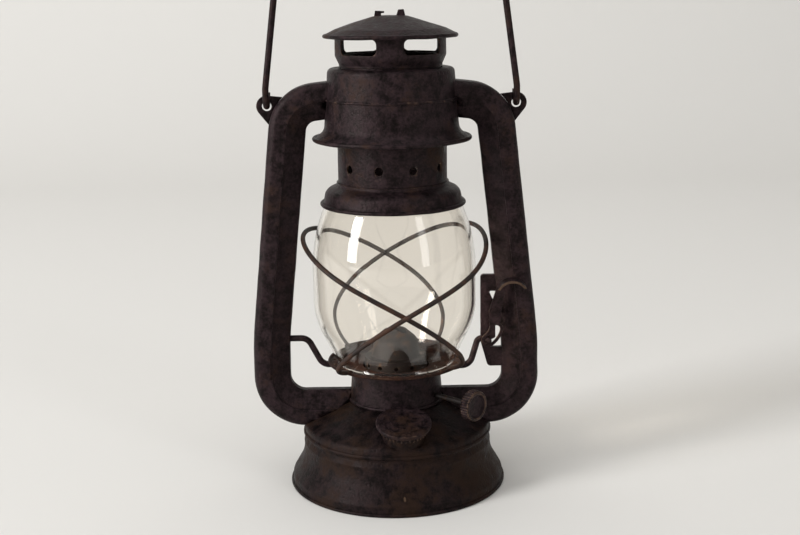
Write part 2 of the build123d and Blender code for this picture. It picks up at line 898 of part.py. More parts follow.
slot_width = lift_wire + 2 * lever_slot_gap
slot_line = ThreePointArc(slot_point(0), slot_point(0.5), slot_point(1))
arm_outline = [(-lever_eye_radius, 0), tab_left, tab_root, (lever_eye_radius, 0), arm_heel, arm_toe]
with BuildPart() as lift_lever:
    with BuildSketch(Plane.XZ.offset(lever_front)):
        SlotArc(slot_line, slot_width + 2 * lever_slot_wall)
        with Locations((lever_pivot_reach, pivot_height)):
            Circle(lever_eye_radius)
        with BuildLine():
            Polyline(*[from_pivot(place) for place in arm_outline], close=True)
        make_face()
        SlotArc(slot_line, slot_width, mode=Mode.SUBTRACT)
        with Locations((lever_pivot_reach, pivot_height)):
            Circle(lever_pin_radius + running_gap, mode=Mode.SUBTRACT)
    extrude(amount=heavy_sheet)
    with BuildSketch(Plane.XZ.offset(lever_front)):
        with BuildLine():
            ThreePointArc(from_pivot(tab_left), from_pivot(tab_top), from_pivot(tab_right))
            offset(amount=heavy_sheet, side=Side.RIGHT)
        make_face()
    extrude(amount=tab_depth)

# Burner

cup_floor = dome_top + collar_flange_height
burner_rim = cup_floor + burner_rim_rise
wick_plane = Plane(origin=(0, 0, cup_floor), x_dir=outwards(burner_azimuth), z_dir=(0, 0, 1))
tube_bore = (wick_width + 2 * wick_gap, wick_thickness + 2 * wick_gap)
tube_outside = (tube_bore[0] + 2 * wick_tube_wall, tube_bore[1] + 2 * wick_tube_wall)
wick_tube_top = burner_rim + cone_height - sheet - wick_tube_drop

draught_planes = [
    facing(turn * 360 / draught_hole_count, burner_rim - draught_hole_drop)
    for turn in range(draught_hole_count)
]
with BuildPart() as burner_cup:
    revolve(
        turned_sheet(
            [
                (burner_rim_radius, burner_rim),
                (burner_rim_radius, cup_floor + burner_neck_rise + burner_flare),
                (burner_cup_radius, cup_floor + burner_neck_rise),
                (burner_cup_radius, cup_floor),
                (0, cup_floor),
            ],
            [burner_bend, burner_bend, sheet],
        ),
        axis=Axis.Z,
    )
    with BuildSketch(wick_plane):
        Rectangle(*tube_outside)
    extrude(amount=sheet, both=True, mode=Mode.SUBTRACT)
    with BuildSketch(shaft_plane):
        Circle(shaft_radius + running_gap)
    extrude(amount=burner_cup_radius * 2, mode=Mode.SUBTRACT)
    with BuildSketch(*draught_planes):
        Circle(draught_hole_radius)
    extrude(amount=burner_rim_radius * 2, mode=Mode.SUBTRACT)

with BuildPart() as wick_tube:
    with BuildSketch(wick_plane.offset(-collar_depth)):
        Rectangle(*tube_outside)
        Rectangle(*tube_bore, mode=Mode.SUBTRACT)
    extrude(amount=wick_tube_top - cup_floor + collar_depth)
    with BuildSketch(Plane(origin=shaft_plane.origin, x_dir=shaft_plane.z_dir, z_dir=-shaft_plane.x_dir)):
        Rectangle(wheel_spacing + 2 * wheel_thickness, 2 * wheel_radius)
    extrude(amount=shaft_aside, mode=Mode.SUBTRACT)

with BuildPart() as burner_cone:
    revolve(
        turned_sheet(
            [
                (0, burner_rim + cone_height),
                (cone_crown_radius, burner_rim + cone_height),
                (cone_radius - cone_taper, burner_rim + cone_shoulder),
                (cone_radius, burner_rim + sheet),
                (burner_rim_radius, burner_rim + sheet),
            ],
            [cone_crown_bend, cone_shoulder_bend, sheet],
        ),
        axis=Axis.Z,
    )
    with BuildSketch(wick_plane.offset(burner_rim + cone_shoulder - sheet - cup_floor)):
        SlotOverall(cone_slot_length, cone_slot_width)
    extrude(amount=cone_height, mode=Mode.SUBTRACT)

with BuildPart() as wick:
    with BuildSketch(wick_plane.offset(wick_tube_top - cup_floor + wick_show)):
        Rectangle(wick_width, wick_thickness)
    extrude(amount=-(wick_tube_top - cup_floor + wick_show + wick_reach))

with BuildPart() as wick_shaft:
    with BuildSketch(shaft_plane.offset(-shaft_inner)):
        Circle(shaft_radius)
    extrude(amount=knob_reach + shaft_inner - knob_thickness)

with BuildPart() as wick_wheels:
    for place in (-wheel_spacing / 2, wheel_spacing / 2):
        with BuildSketch(shaft_plane.offset(place - wheel_thickness / 2)):
            Circle(wheel_radius)
            with PolarLocations(wheel_radius, wheel_teeth):
                Circle(wheel_notch_radius, mode=Mode.SUBTRACT)
            Circle(shaft_radius, mode=Mode.SUBTRACT)
        extrude(amount=wheel_thickness)

with BuildPart() as wick_knob:
    with BuildSketch(shaft_plane.offset(knob_reach - knob_thickness)):
        Circle(knob_radius)
    extrude(amount=knob_thickness)
    fillet(wick_knob.edges(), radius=sheet)
    with BuildSketch(shaft_plane.offset(knob_reach)):
        Circle(knob_dish_radius)
    extrude(amount=-knob_dish_depth, mode=Mode.SUBTRACT)

# Chimney

collar_top = hood_rim + collar_tuck
chimney_low = collar_top - sheet
with BuildPart() as globe_cap:
    revolve(
        turned_sheet(
            [
                (collar_radius + sheet, bell_top + collar_lap),
                (collar_radius + sheet, bell_top),
                (bell_shoulder_radius, bell_rim + bell_shoulder_rise),
                (bell_wall_radius, bell_rim + bell_wall_rise),
                (bell_radius - bell_lip, bell_rim + bell_lip),
            ],
            [bell_bend, bell_shoulder_bend, bell_bend],
        ),
        axis=Axis.Z,
    )
    revolve(turned_roll(bell_radius - bell_lip, bell_rim + bell_lip, bell_lip), axis=Axis.Z)

collar_planes = [
    facing(collar_hole_azimuth + turn * 360 / collar_hole_count, bell_top + collar_hole_rise)
    for turn in range(collar_hole_count)
]
with BuildPart() as perforated_collar:
    revolve(
        turned_sheet(
            [
                (chimney_radius, collar_top),
                (collar_radius, collar_top),
                (collar_radius, bell_top - collar_lap),
            ],
            [collar_bend],
        ),
        axis=Axis.Z,
    )
    with BuildSketch(*collar_planes):
        Circle(collar_hole_radius)
    extrude(amount=collar_radius * 2, mode=Mode.SUBTRACT)

with BuildPart() as chimney_tube:
    with BuildSketch(Plane.XY.offset(chimney_low)):
        Circle(chimney_radius)
        Circle(chimney_radius - sheet, mode=Mode.SUBTRACT)
    extrude(amount=vent_low + vent_bowl_height - chimney_low)


roof_slope = (roof_top - roof_kink) / (roof_kink_radius - roof_crown_radius)


def roof_height(radius):
    """Height of the roof's outer face over its inner slope."""
    return roof_kink + (roof_kink_radius - radius) * roof_slope


roof_outline = [
    (0, roof_top),
    (roof_crown_radius, roof_top),
    (roof_kink_radius, roof_kink),
    (roof_radius - roof_roll_radius, vent_brim + roof_roll_radius),
]
roof_bends = [roof_crown_bend, roof_kink_bend]

with BuildPart() as vent_roof:
    revolve(turned_sheet(roof_outline, roof_bends), axis=Axis.Z)
    revolve(
        turned_roll(roof_radius - roof_roll_radius, vent_brim + roof_roll_radius, roof_roll_radius),
        axis=Axis.Z,
    )

with BuildPart() as roof_space:
    revolve(turned_block(roof_outline, roof_bends), axis=Axis.Z)

window_planes = [
    facing(middle + side * window_azimuth, vent_brim - window_height / 2)
    for middle in (0, 180)
    for side in (1, -1)
]
with BuildPart() as vent_body:
    revolve(
        turned_sheet(
            [
                (vent_radius, roof_height(vent_radius) - sheet * sqrt(1 + roof_slope**2) - lap_gap),
                (vent_radius, vent_low + vent_bowl_height),
                (chimney_radius + sheet, vent_low + sheet),
                (chimney_radius + sheet, vent_low),
            ],
            [vent_bowl_bend, sheet],
        ),
        axis=Axis.Z,
    )
    with BuildSketch(*window_planes):
        RectangleRounded(window_width, window_height, radius=window_corner)
    extrude(amount=vent_radius * 2, mode=Mode.SUBTRACT)

with BuildPart() as ring_lugs:
    for side in (1, -1):
        with BuildSketch(Plane.XZ.offset(lug_thickness / 2)):
            with Locations((side * lug_spacing / 2, roof_top - lug_rise)):
                Trapezoid(lug_width, 2 * lug_rise + sheet, lug_side_angle, align=(Align.CENTER, Align.MIN))
        extrude(amount=-lug_thickness)
    add(roof_space.part, mode=Mode.SUBTRACT)

# Spring round the chimney tube, pressed between the collar and the hood's roof


def coil_path(radius, low, high, turns):
    """Rising coil from two tangent arcs for each quarter turn."""
    steps = 4 * turns
    climb = (high - low) / steps
    slope = climb / (radius * radians(90))
    with BuildLine() as coil:
        for step in range(steps):
            ends = []
            for corner in (step, step + 1):
                angle = radians(90 * corner)
                place = Vector(radius * cos(angle), radius * sin(angle), low + corner * climb)
                heading = Vector(-sin(angle), cos(angle), slope).normalized()
                ends.append((place, heading))
            (first, leaving), (last, arriving) = ends
            chord = last - first
            bend = 2 * (1 - leaving.dot(arriving))
            pull = chord.dot(leaving + arriving)
            reach = (sqrt(pull**2 + bend * chord.dot(chord)) - pull) / bend
            middle = (first + last + (leaving - arriving) * reach) * 0.5
            arc = TangentArc(first, middle, tangent=leaving)
            TangentArc(middle, last, tangent=arc % 1)
    return coil.line


spring_low = collar_top + spring_wire / 2 + lap_gap
spring_high = hood_top - sheet - spring_wire / 2 - lap_gap
spring_radius = chimney_radius + spring_clearance + spring_wire / 2
spring_path = coil_path(spring_radius, spring_low, spring_high, spring_turns)
with BuildPart() as chimney_spring:
    with BuildSketch(Plane(origin=spring_path @ 0, z_dir=spring_path % 0)):
        Circle(spring_wire / 2)
    sweep(path=spring_path)
coil_gap = (spring_high - spring_low) / spring_turns - spring_wire
print(f"chimney spring: least gap between turns {coil_gap:.2f} mm")

for piece, label in (
    (fount_skirt, "fount_skirt"),
    (fount_bottom, "fount_bottom"),
    (fount_dome, "fount_dome"),
    (filler_neck, "filler_neck"),
    (burner_collar, "burner_collar"),
    (filler_cap, "filler_cap"),
    (cap_gasket, "cap_gasket"),
    (air_chamber, "air_chamber"),
    (hood, "hood"),
    (right_tube_outer, "right_tube_outer"),
    (right_tube_inner, "right_tube_inner"),
    (left_tube_outer, "left_tube_outer"),
    (left_tube_inner, "left_tube_inner"),
    (right_ear, "right_ear"),
    (left_ear, "left_ear"),
    (bail, "bail_wire"),
    (globe_plate, "globe_plate"),
    (globe, "globe"),
    (left_lift_wire, "left_lift_wire"),
    (right_lift_wire, "right_lift_wire"),
    (guard_wire_a, "guard_wire_outer"),
    (guard_wire_b, "guard_wire_inner"),
    (lever_bracket, "lever_bracket"),
    (lever_pin, "lever_pin"),
    (lift_lever, "lift_lever"),
    (burner_cup, "burner_cup"),
    (wick_tube, "wick_tube"),
    (burner_cone, "burner_cone"),
    (wick, "wick"),
    (wick_shaft, "wick_shaft"),
    (wick_wheels, "wick_wheels"),
    (wick_knob, "wick_knob"),
    (globe_cap, "globe_cap"),
    (perforated_collar, "perforated_collar"),
    (chimney_tube, "chimney_tube"),
    (vent_roof, "vent_roof"),
    (vent_body, "vent_body"),
    (ring_lugs, "ring_lugs"),
    (chimney_spring, "chimney_spring"),
):
    save(piece, label)
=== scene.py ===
"""Looks of a small tubular kerosene lantern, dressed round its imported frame."""

import json
import logging
import math
from dataclasses import dataclass
from enum import Enum
from typing import Any, Callable

import bmesh
import bpy
from mathutils import Matrix, Vector, noise


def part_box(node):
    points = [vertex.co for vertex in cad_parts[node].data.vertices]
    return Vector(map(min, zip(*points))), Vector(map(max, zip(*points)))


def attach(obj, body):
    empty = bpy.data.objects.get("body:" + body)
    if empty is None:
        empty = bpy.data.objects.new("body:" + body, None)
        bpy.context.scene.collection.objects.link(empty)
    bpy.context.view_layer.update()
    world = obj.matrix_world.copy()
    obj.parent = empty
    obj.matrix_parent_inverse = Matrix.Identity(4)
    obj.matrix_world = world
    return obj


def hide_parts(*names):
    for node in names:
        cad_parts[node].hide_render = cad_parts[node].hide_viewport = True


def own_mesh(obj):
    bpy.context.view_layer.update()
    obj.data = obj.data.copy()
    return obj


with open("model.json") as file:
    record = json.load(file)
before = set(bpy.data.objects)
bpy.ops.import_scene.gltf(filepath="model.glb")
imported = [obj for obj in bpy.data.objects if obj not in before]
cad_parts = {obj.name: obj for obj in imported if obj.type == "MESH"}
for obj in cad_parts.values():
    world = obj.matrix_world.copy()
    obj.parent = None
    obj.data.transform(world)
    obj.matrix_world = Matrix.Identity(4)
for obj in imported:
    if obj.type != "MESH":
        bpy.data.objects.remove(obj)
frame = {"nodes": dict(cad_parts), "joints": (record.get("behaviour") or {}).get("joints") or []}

log = logging.getLogger("lantern")

MM = 0.001
TURN_STEPS = 144
TOOTH_STEPS = 6
NOISE_MEAN = 0.5
DENT_SEED = 7

Colour = tuple[float, float, float, float]
Place = tuple[float, float, float]
Point = tuple[float, float]
Levels = tuple[float, float]

EVEN: Point = (1.0, 1.0)
MIX_FACTOR, MIX_FIRST, MIX_SECOND, MIX_RESULT = 0, 6, 7, 2


class Body(Enum):
    """Bodies that the pieces ride on, as the record names them."""

    FRAME = "frame"
    BAIL = "bail"
    CARRIAGE = "carriage"
    LEVER = "lever"
    CHIMNEY = "chimney"
    WICK_DRIVE = "wick_drive"
    WICK = "wick"
    CAP = "cap"


class Slot(Enum):
    """Material slots as the record names them."""

    FOUNT = "fount_paint"
    FRAME = "frame_paint"
    CHIMNEY = "chimney_paint"
    PLATE = "plate_paint"
    CAP = "cap_paint"
    LEVER = "lever_steel"
    BAIL = "bail_steel"
    GUARD = "guard_steel"
    SPRING = "spring_steel"
    BRASS = "burner_brass"
    COTTON = "wick_cotton"


def srgb(red: int, green: int, blue: int) -> Colour:
    """Turn a colour as seen on a screen into linear light.

    Args:
        red: Red, 0 to 255.
        green: Green, 0 to 255.
        blue: Blue, 0 to 255.

    Returns:
        The linear colour with full alpha.
    """
    linear = [((c / 255 + 0.055) / 1.055) ** 2.4 if c > 10 else c / 255 / 12.92 for c in (red, green, blue)]
    return (linear[0], linear[1], linear[2], 1.0)


class Wire:
    """An output socket that ordinary arithmetic can be written on."""

    def __init__(self, shader: "Shader", socket: bpy.types.NodeSocket) -> None:
        """Wrap a socket of a shader's node tree.

        Args:
            shader: The shader that the socket belongs to.
            socket: The output socket.
        """
        self.shader = shader
        self.socket = socket

    def maths(self, operation: str, *values: Any) -> "Wire":
        """Put one Math node after this socket.

        Args:
            operation: Name of the Math node's operation.
            *values: Its inputs, numbers or wires.

        Returns:
            The node's result.
        """
        return self.shader.make("ShaderNodeMath", {"operation": operation}, dict(enumerate(values)))

    def __add__(self, other: Any) -> "Wire":
        """Add a number or a wire."""
        return self.maths("ADD", self, other)

    __radd__ = __add__

    def __sub__(self, other: Any) -> "Wire":
        """Take a number or a wire away."""
        return self.maths("SUBTRACT", self, other)

    def __rsub__(self, other: Any) -> "Wire":
        """Take this wire away from a number."""
        return self.maths("SUBTRACT", other, self)

    def __mul__(self, other: Any) -> "Wire":
        """Multiply by a number or a wire."""
        return self.maths("MULTIPLY", self, other)

    __rmul__ = __mul__

    def between(self, low: float, high: float) -> "Wire":
        """Step smoothly from 0 at one level to 1 at another.

        Args:
            low: Level that gives 0.
            high: Level that gives 1.

        Returns:
            The smooth step, clamped.
        """
        return self.shader.make(
            "ShaderNodeMapRange",
            {"interpolation_type": "SMOOTHSTEP"},
            {"Value": self, "From Min": low, "From Max": high},
        )


class Shader:
    """Node tree of one material."""

    def __init__(self, name: str) -> None:
        """Start an empty material.

        Args:
            name: Name of the material.
        """
        self.material = bpy.data.materials.new(name)
        self.material.use_nodes = True
        self.tree = self.material.node_tree
        self.tree.nodes.clear()

    def make(self, kind: str, settings: dict[str, Any], inputs: dict[Any, Any], output: Any = 0) -> Wire:
        """Make any node, with its settings before its sockets.

        Args:
            kind: Type name of the node.
            settings: Properties of the node.
            inputs: Values or wires by socket name or number.
            output: Name or number of the socket to return.

        Returns:
            The chosen output.
        """
        node = self.tree.nodes.new(kind)
        for name, value in settings.items():
            setattr(node, name, value)
        for key, value in inputs.items():
            if isinstance(value, Wire):
                self.tree.links.new(value.socket, node.inputs[key])
            else:
                node.inputs[key].default_value = value
        return Wire(self, node.outputs[output])

    def place(self, stretch: Point = EVEN) -> Wire:
        """Give the object's own coordinates.

        Args:
            stretch: How much longer features get across and along the upright.

        Returns:
            The coordinates as a vector.
        """
        here = self.make("ShaderNodeTexCoord", {}, {}, "Object")
        if stretch == EVEN:
            return here
        across, upright = stretch
        factor = (1 / across, 1 / across, 1 / upright)
        return self.make("ShaderNodeVectorMath", {"operation": "MULTIPLY"}, {0: here, 1: factor})

    def cloud(self, size: float, detail: float, rough: float, stretch: Point = EVEN) -> Wire:
        """Give soft noise with features of a real size.

        Args:
            size: Size of the largest features, in millimetres.
            detail: Octaves of finer noise.
            rough: Strength of the finer noise.
            stretch: How much longer features get across and along the upright.

        Returns:
            The noise, about 0.5 in the middle.
        """
        return self.make(
            "ShaderNodeTexNoise",
            {},
            {
                "Vector": self.place(stretch),
                "Scale": 1 / (size * MM),
                "Detail": detail,
                "Roughness": rough,
            },
        )

    def blend(self, factor: Any, first: Any, second: Any) -> Wire:
        """Mix two colours.

        Args:
            factor: Share of the second colour.
            first: First colour or wire.
            second: Second colour or wire.

        Returns:
            The mixed colour.
        """
        inputs = {MIX_FACTOR: factor, MIX_FIRST: first, MIX_SECOND: second}
        return self.make("ShaderNodeMix", {"data_type": "RGBA"}, inputs, MIX_RESULT)

    def bump(self, height: Wire, depth: float) -> Wire:
        """Turn a height into a bent normal.

        Args:
            height: Height from 0 to 1.
            depth: Depth that 1 stands for, in millimetres.

        Returns:
            The normal.
        """
        return self.make("ShaderNodeBump", {}, {"Height": height, "Distance": depth * MM, "Strength": 1.0})

    def principled(self, inputs: dict[str, Any]) -> Wire:
        """Make a standard surface.

        Args:
            inputs: Values or wires by socket name.

        Returns:
            The surface.
        """
        return self.make("ShaderNodeBsdfPrincipled", {}, inputs)

    def surface(self, shade: Wire) -> None:
        """Send a shader to the output.

        Args:
            shade: The finished surface.
        """
        node = self.tree.nodes.new("ShaderNodeOutputMaterial")
        self.tree.links.new(shade.socket, node.inputs["Surface"])


@dataclass(frozen=True)
class Finish:
    """A finish that can be laid on any piece."""

    name: str

    def lay(self, shader: Shader) -> Wire:
        """Build the finish's surface.

        Args:
            shader: The material to build it in.

        Returns:
            The surface.
        """
        raise NotImplementedError

    def material(self) -> bpy.types.Material:
        """Give the finish's material, made once.

        Returns:
            The material.
        """
        made = bpy.data.materials.get(self.name)
        if made is None:
            shader = Shader(self.name)
            shader.surface(self.lay(shader))
            made = shader.material
        return made


@dataclass(frozen=True)
class AgedPaint(Finish):
    """Old stove paint over rough metal, rubbed through at the edges."""

    dark: Colour = srgb(8, 6, 6)
    light: Colour = srgb(45, 34, 37)
    brown: Colour = srgb(47, 32, 22)
    worn: Colour = srgb(92, 74, 60)
    sheen: Colour = (1.0, 0.8, 0.78, 1.0)
    brown_share: float = 0.5
    wear_share: float = 0.4
    roughness: float = 0.46
    rough_swing: float = 0.55
    gloss: float = 0.13
    patch_size: float = 30.0
    mottle_size: float = 5.0
    grain_size: float = 1.2
    grain_depth: float = 0.4
    pit_spacing: float = 2.6
    pit_levels: Levels = (0.05, 0.34)
    tone_levels: Levels = (0.36, 0.64)
    brown_levels: Levels = (0.68, 0.92)
    rub_levels: Levels = (0.85, 1.25)
    scuff: Place | None = None
    scuff_shape: Point = (0.7, 2.6)
    scuff_levels: Levels = (0.6, 1.3)

    def lay(self, shader: Shader) -> Wire:
        """Build mottled paint with brown patches and rubbed edges, as the base class says."""
        patch = shader.cloud(self.patch_size, detail=6.0, rough=0.62)
        mottle = shader.cloud(self.mottle_size, detail=5.0, rough=0.62)
        grain = shader.cloud(self.grain_size, detail=3.0, rough=0.65)
        fleck = mottle - NOISE_MEAN
        spots = {"Vector": shader.place(), "Scale": 1 / (self.pit_spacing * self.grain_size * MM)}
        pit = shader.make("ShaderNodeTexVoronoi", {}, spots).between(*self.pit_levels)
        wear = shader.make("ShaderNodeAttribute", {"attribute_name": "wear"}, {}, "Fac")
        browned = (patch + 0.5 * fleck + 0.36 * self.brown_share).between(*self.brown_levels)
        first, full = (level - 0.5 * self.wear_share for level in self.rub_levels)
        rubbed = (wear + 1.1 * fleck + 0.6 * (grain - NOISE_MEAN)).between(first, full)
        if self.scuff is not None:
            rubbed = rubbed.maths("MAXIMUM", rubbed, self.mark(shader, grain))
        tone = (0.6 * mottle + 0.4 * grain).between(*self.tone_levels)
        paint = shader.blend(tone, self.dark, self.light)
        paint = shader.blend(browned * 0.8, paint, self.brown)
        paint = shader.blend(rubbed * 0.75, paint, self.worn)
        rough = self.roughness + self.rough_swing * fleck + 0.1 * browned - 0.08 * rubbed
        relief = 0.55 * grain + 0.5 * mottle + 0.25 * pit
        return shader.principled(
            {
                "Base Color": paint,
                "Roughness": rough,
                "Metallic": 0.3 * rubbed,
                "Specular IOR Level": self.gloss,
                "Specular Tint": self.sheen,
                "Normal": shader.bump(relief, self.grain_depth),
            }
        )

    def mark(self, shader: Shader, grain: Wire) -> Wire:
        """Give one small upright scuff.

        Args:
            shader: The material to build it in.
            grain: Noise that makes its edge ragged.

        Returns:
            1 in the middle of the scuff and 0 away from it.
        """
        east, north, height = (self.scuff[axis] * MM for axis in range(3))
        across, upright = (reach * MM for reach in self.scuff_shape)
        away = shader.make(
            "ShaderNodeVectorMath",
            {"operation": "DISTANCE"},
            {0: shader.place((across, upright)), 1: (east / across, north / across, height / upright)},
            "Value",
        )
        return 1.0 - (away + 1.2 * (grain - NOISE_MEAN)).between(*self.scuff_levels)


@dataclass(frozen=True)
class RustyWire(Finish):
    """Dark wire with a skin of old rust."""

    dark: Colour = srgb(30, 20, 16)
    rust: Colour = srgb(64, 40, 27)
    roughness: float = 0.6
    rough_swing: float = 0.3
    gloss: float = 0.3
    patch_size: float = 6.0
    grain_size: float = 0.7
    grain_depth: float = 0.09
    rust_levels: Levels = (0.4, 0.68)

    def lay(self, shader: Shader) -> Wire:
        """Build the wire's surface, as the base class says."""
        patch = shader.cloud(self.patch_size, detail=5.0, rough=0.65)
        grain = shader.cloud(self.grain_size, detail=3.0, rough=0.6)
        return shader.principled(
            {
                "Base Color": shader.blend(patch.between(*self.rust_levels), self.dark, self.rust),
                "Roughness": self.roughness + self.rough_swing * (patch - NOISE_MEAN),
                "Specular IOR Level": self.gloss,
                "Normal": shader.bump(grain + 0.4 * patch, self.grain_depth),
            }
        )


@dataclass(frozen=True)
class SootyBrass(Finish):
    """Brass gone brown in the heat of the burner."""

    clean: Colour = srgb(92, 62, 34)
    soot: Colour = srgb(26, 18, 15)
    soot_share: float = 0.75
    soot_levels: Levels = (0.62, 0.86)
    roughness: float = 0.36
    metal: float = 0.9
    patch_size: float = 7.0
    grain_size: float = 0.9
    grain_depth: float = 0.05

    def lay(self, shader: Shader) -> Wire:
        """Build the brass, as the base class says."""
        patch = shader.cloud(self.patch_size, detail=5.0, rough=0.6)
        grain = shader.cloud(self.grain_size, detail=3.0, rough=0.6)
        first, full = (level - 0.5 * self.soot_share for level in self.soot_levels)
        sooted = (patch + 0.3 * (grain - NOISE_MEAN)).between(first, full)
        return shader.principled(
            {
                "Base Color": shader.blend(sooted, self.clean, self.soot),
                "Roughness": self.roughness + 0.3 * sooted,
                "Metallic": self.metal - 0.5 * sooted,
                "Normal": shader.bump(grain, self.grain_depth),
            }
        )


@dataclass(frozen=True)
class ClearGlass(Finish):
    """Blown glass that lets the lamps through."""

    tint: Colour = srgb(254, 251, 246)
    index: float = 1.47
    wave_size: float = 22.0
    wave_stretch: Point = (1.0, 1.8)
    wave_depth: float = 0.05
    smear_size: float = 12.0
    smear_levels: Levels = (0.5, 0.9)
    smear_roughness: float = 0.03

    def lay(self, shader: Shader) -> Wire:
        """Build the glass, with a faint unevenness from blowing, as the base class says."""
        wave = shader.cloud(self.wave_size, detail=2.0, rough=0.5, stretch=self.wave_stretch)
        smear = shader.cloud(self.smear_size, detail=4.0, rough=0.6)
        glass = shader.principled(
            {
                "Base Color": self.tint,
                "Roughness": self.smear_roughness * smear.between(*self.smear_levels),
                "IOR": self.index,
                "Transmission Weight": 1.0,
                "Normal": shader.bump(wave, self.wave_depth),
            }
        )
        clear = shader.make("ShaderNodeBsdfTransparent", {}, {"Color": self.tint})
        shadow = shader.make("ShaderNodeLightPath", {}, {}, "Is Shadow Ray")
        return shader.make("ShaderNodeMixShader", {}, {0: shadow, 1: glass, 2: clear})


@dataclass(frozen=True)
class CharredCotton(Finish):
    """Woven cotton, burnt black at its upper end."""

    cotton: Colour = srgb(206, 194, 168)
    char: Colour = srgb(24, 20, 18)
    char_height: float = 78.0
    char_fade: float = 3.0
    char_swing: float = 5.0
    fibre_size: float = 0.5
    fibre_depth: float = 0.15
    ragged_size: float = 2.0
    roughness: float = 0.9

    def lay(self, shader: Shader) -> Wire:
        """Build the cotton, as the base class says."""
        fibre = shader.cloud(self.fibre_size, detail=3.0, rough=0.7)
        ragged = shader.cloud(self.ragged_size, detail=3.0, rough=0.6)
        here = shader.make("ShaderNodeSeparateXYZ", {}, {0: shader.place()}, "Z")
        height = here * (1 / MM) + self.char_swing * (ragged - NOISE_MEAN)
        burnt = height.between(self.char_height - self.char_fade, self.char_height)
        return shader.principled(
            {
                "Base Color": shader.blend(burnt, self.cotton, self.char),
                "Roughness": self.roughness + 0.08 * fibre,
                "Normal": shader.bump(fibre, self.fibre_depth),
            }
        )


@dataclass(frozen=True)
class OldRubber(Finish):
    """Hardened seal rubber with dust in it."""

    dark: Colour = srgb(36, 34, 33)
    dust: Colour = srgb(70, 64, 58)
    dust_levels: Levels = (0.5, 0.8)
    dust_size: float = 3.0
    dust_depth: float = 0.05
    roughness: float = 0.7

    def lay(self, shader: Shader) -> Wire:
        """Build the rubber, as the base class says."""
        patch = shader.cloud(self.dust_size, detail=4.0, rough=0.6)
        return shader.principled(
            {
                "Base Color": shader.blend(patch.between(*self.dust_levels), self.dark, self.dust),
                "Roughness": self.roughness + 0.2 * (patch - NOISE_MEAN),
                "Normal": shader.bump(patch, self.dust_depth),
            }
        )


BODY_PAINT = AgedPaint("lantern paint", brown_share=0.45)
BASE_PAINT = AgedPaint(
    "lantern base paint",
    dark=srgb(6, 5, 5),
    light=srgb(35, 26, 27),
    brown=srgb(38, 26, 18),
    gloss=0.1,
    brown_share=0.75,
    wear_share=0.45,
    scuff=(3.4, -52.6, 9.6),
)
TUBE_PAINT = AgedPaint("lantern tube paint", brown_share=0.4)
PLATE_PAINT = AgedPaint(
    "lantern plate paint",
    dark=srgb(24, 15, 13),
    light=srgb(48, 31, 26),
    brown=srgb(58, 36, 26),
    brown_share=0.6,
    roughness=0.6,
)
CAP_PAINT = AgedPaint("lantern cap paint", brown_share=0.55, wear_share=0.5, mottle_size=3.4)
LEVER_PAINT = AgedPaint("lantern lever paint", brown_share=0.3, wear_share=0.35)
BAIL_STEEL = AgedPaint("lantern bail steel", brown_share=0.6, mottle_size=3.0, grain_depth=0.12)
GUARD_STEEL = RustyWire("lantern guard wire")
SPRING_STEEL = RustyWire("lantern spring wire", dark=srgb(52, 48, 44), rust=srgb(74, 56, 42), roughness=0.45)
BRASS = SootyBrass("lantern brass")
GLASS = ClearGlass("lantern glass")
COTTON = CharredCotton("lantern wick")
RUBBER = OldRubber("lantern seal")


def joint(name: str) -> dict[str, Any]:
    """Find a joint of the frame.

    Args:
        name: Its name in the record.

    Returns:
        The joint.
    """
    return next(entry for entry in frame["joints"] if entry["name"] == name)


def span(node: str) -> Point:
    """Give the least and greatest height of a CAD node, in millimetres.

    Args:
        node: Name of the node.

    Returns:
        The two heights.
    """
    low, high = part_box(node)
    return (low.z / MM, high.z / MM)


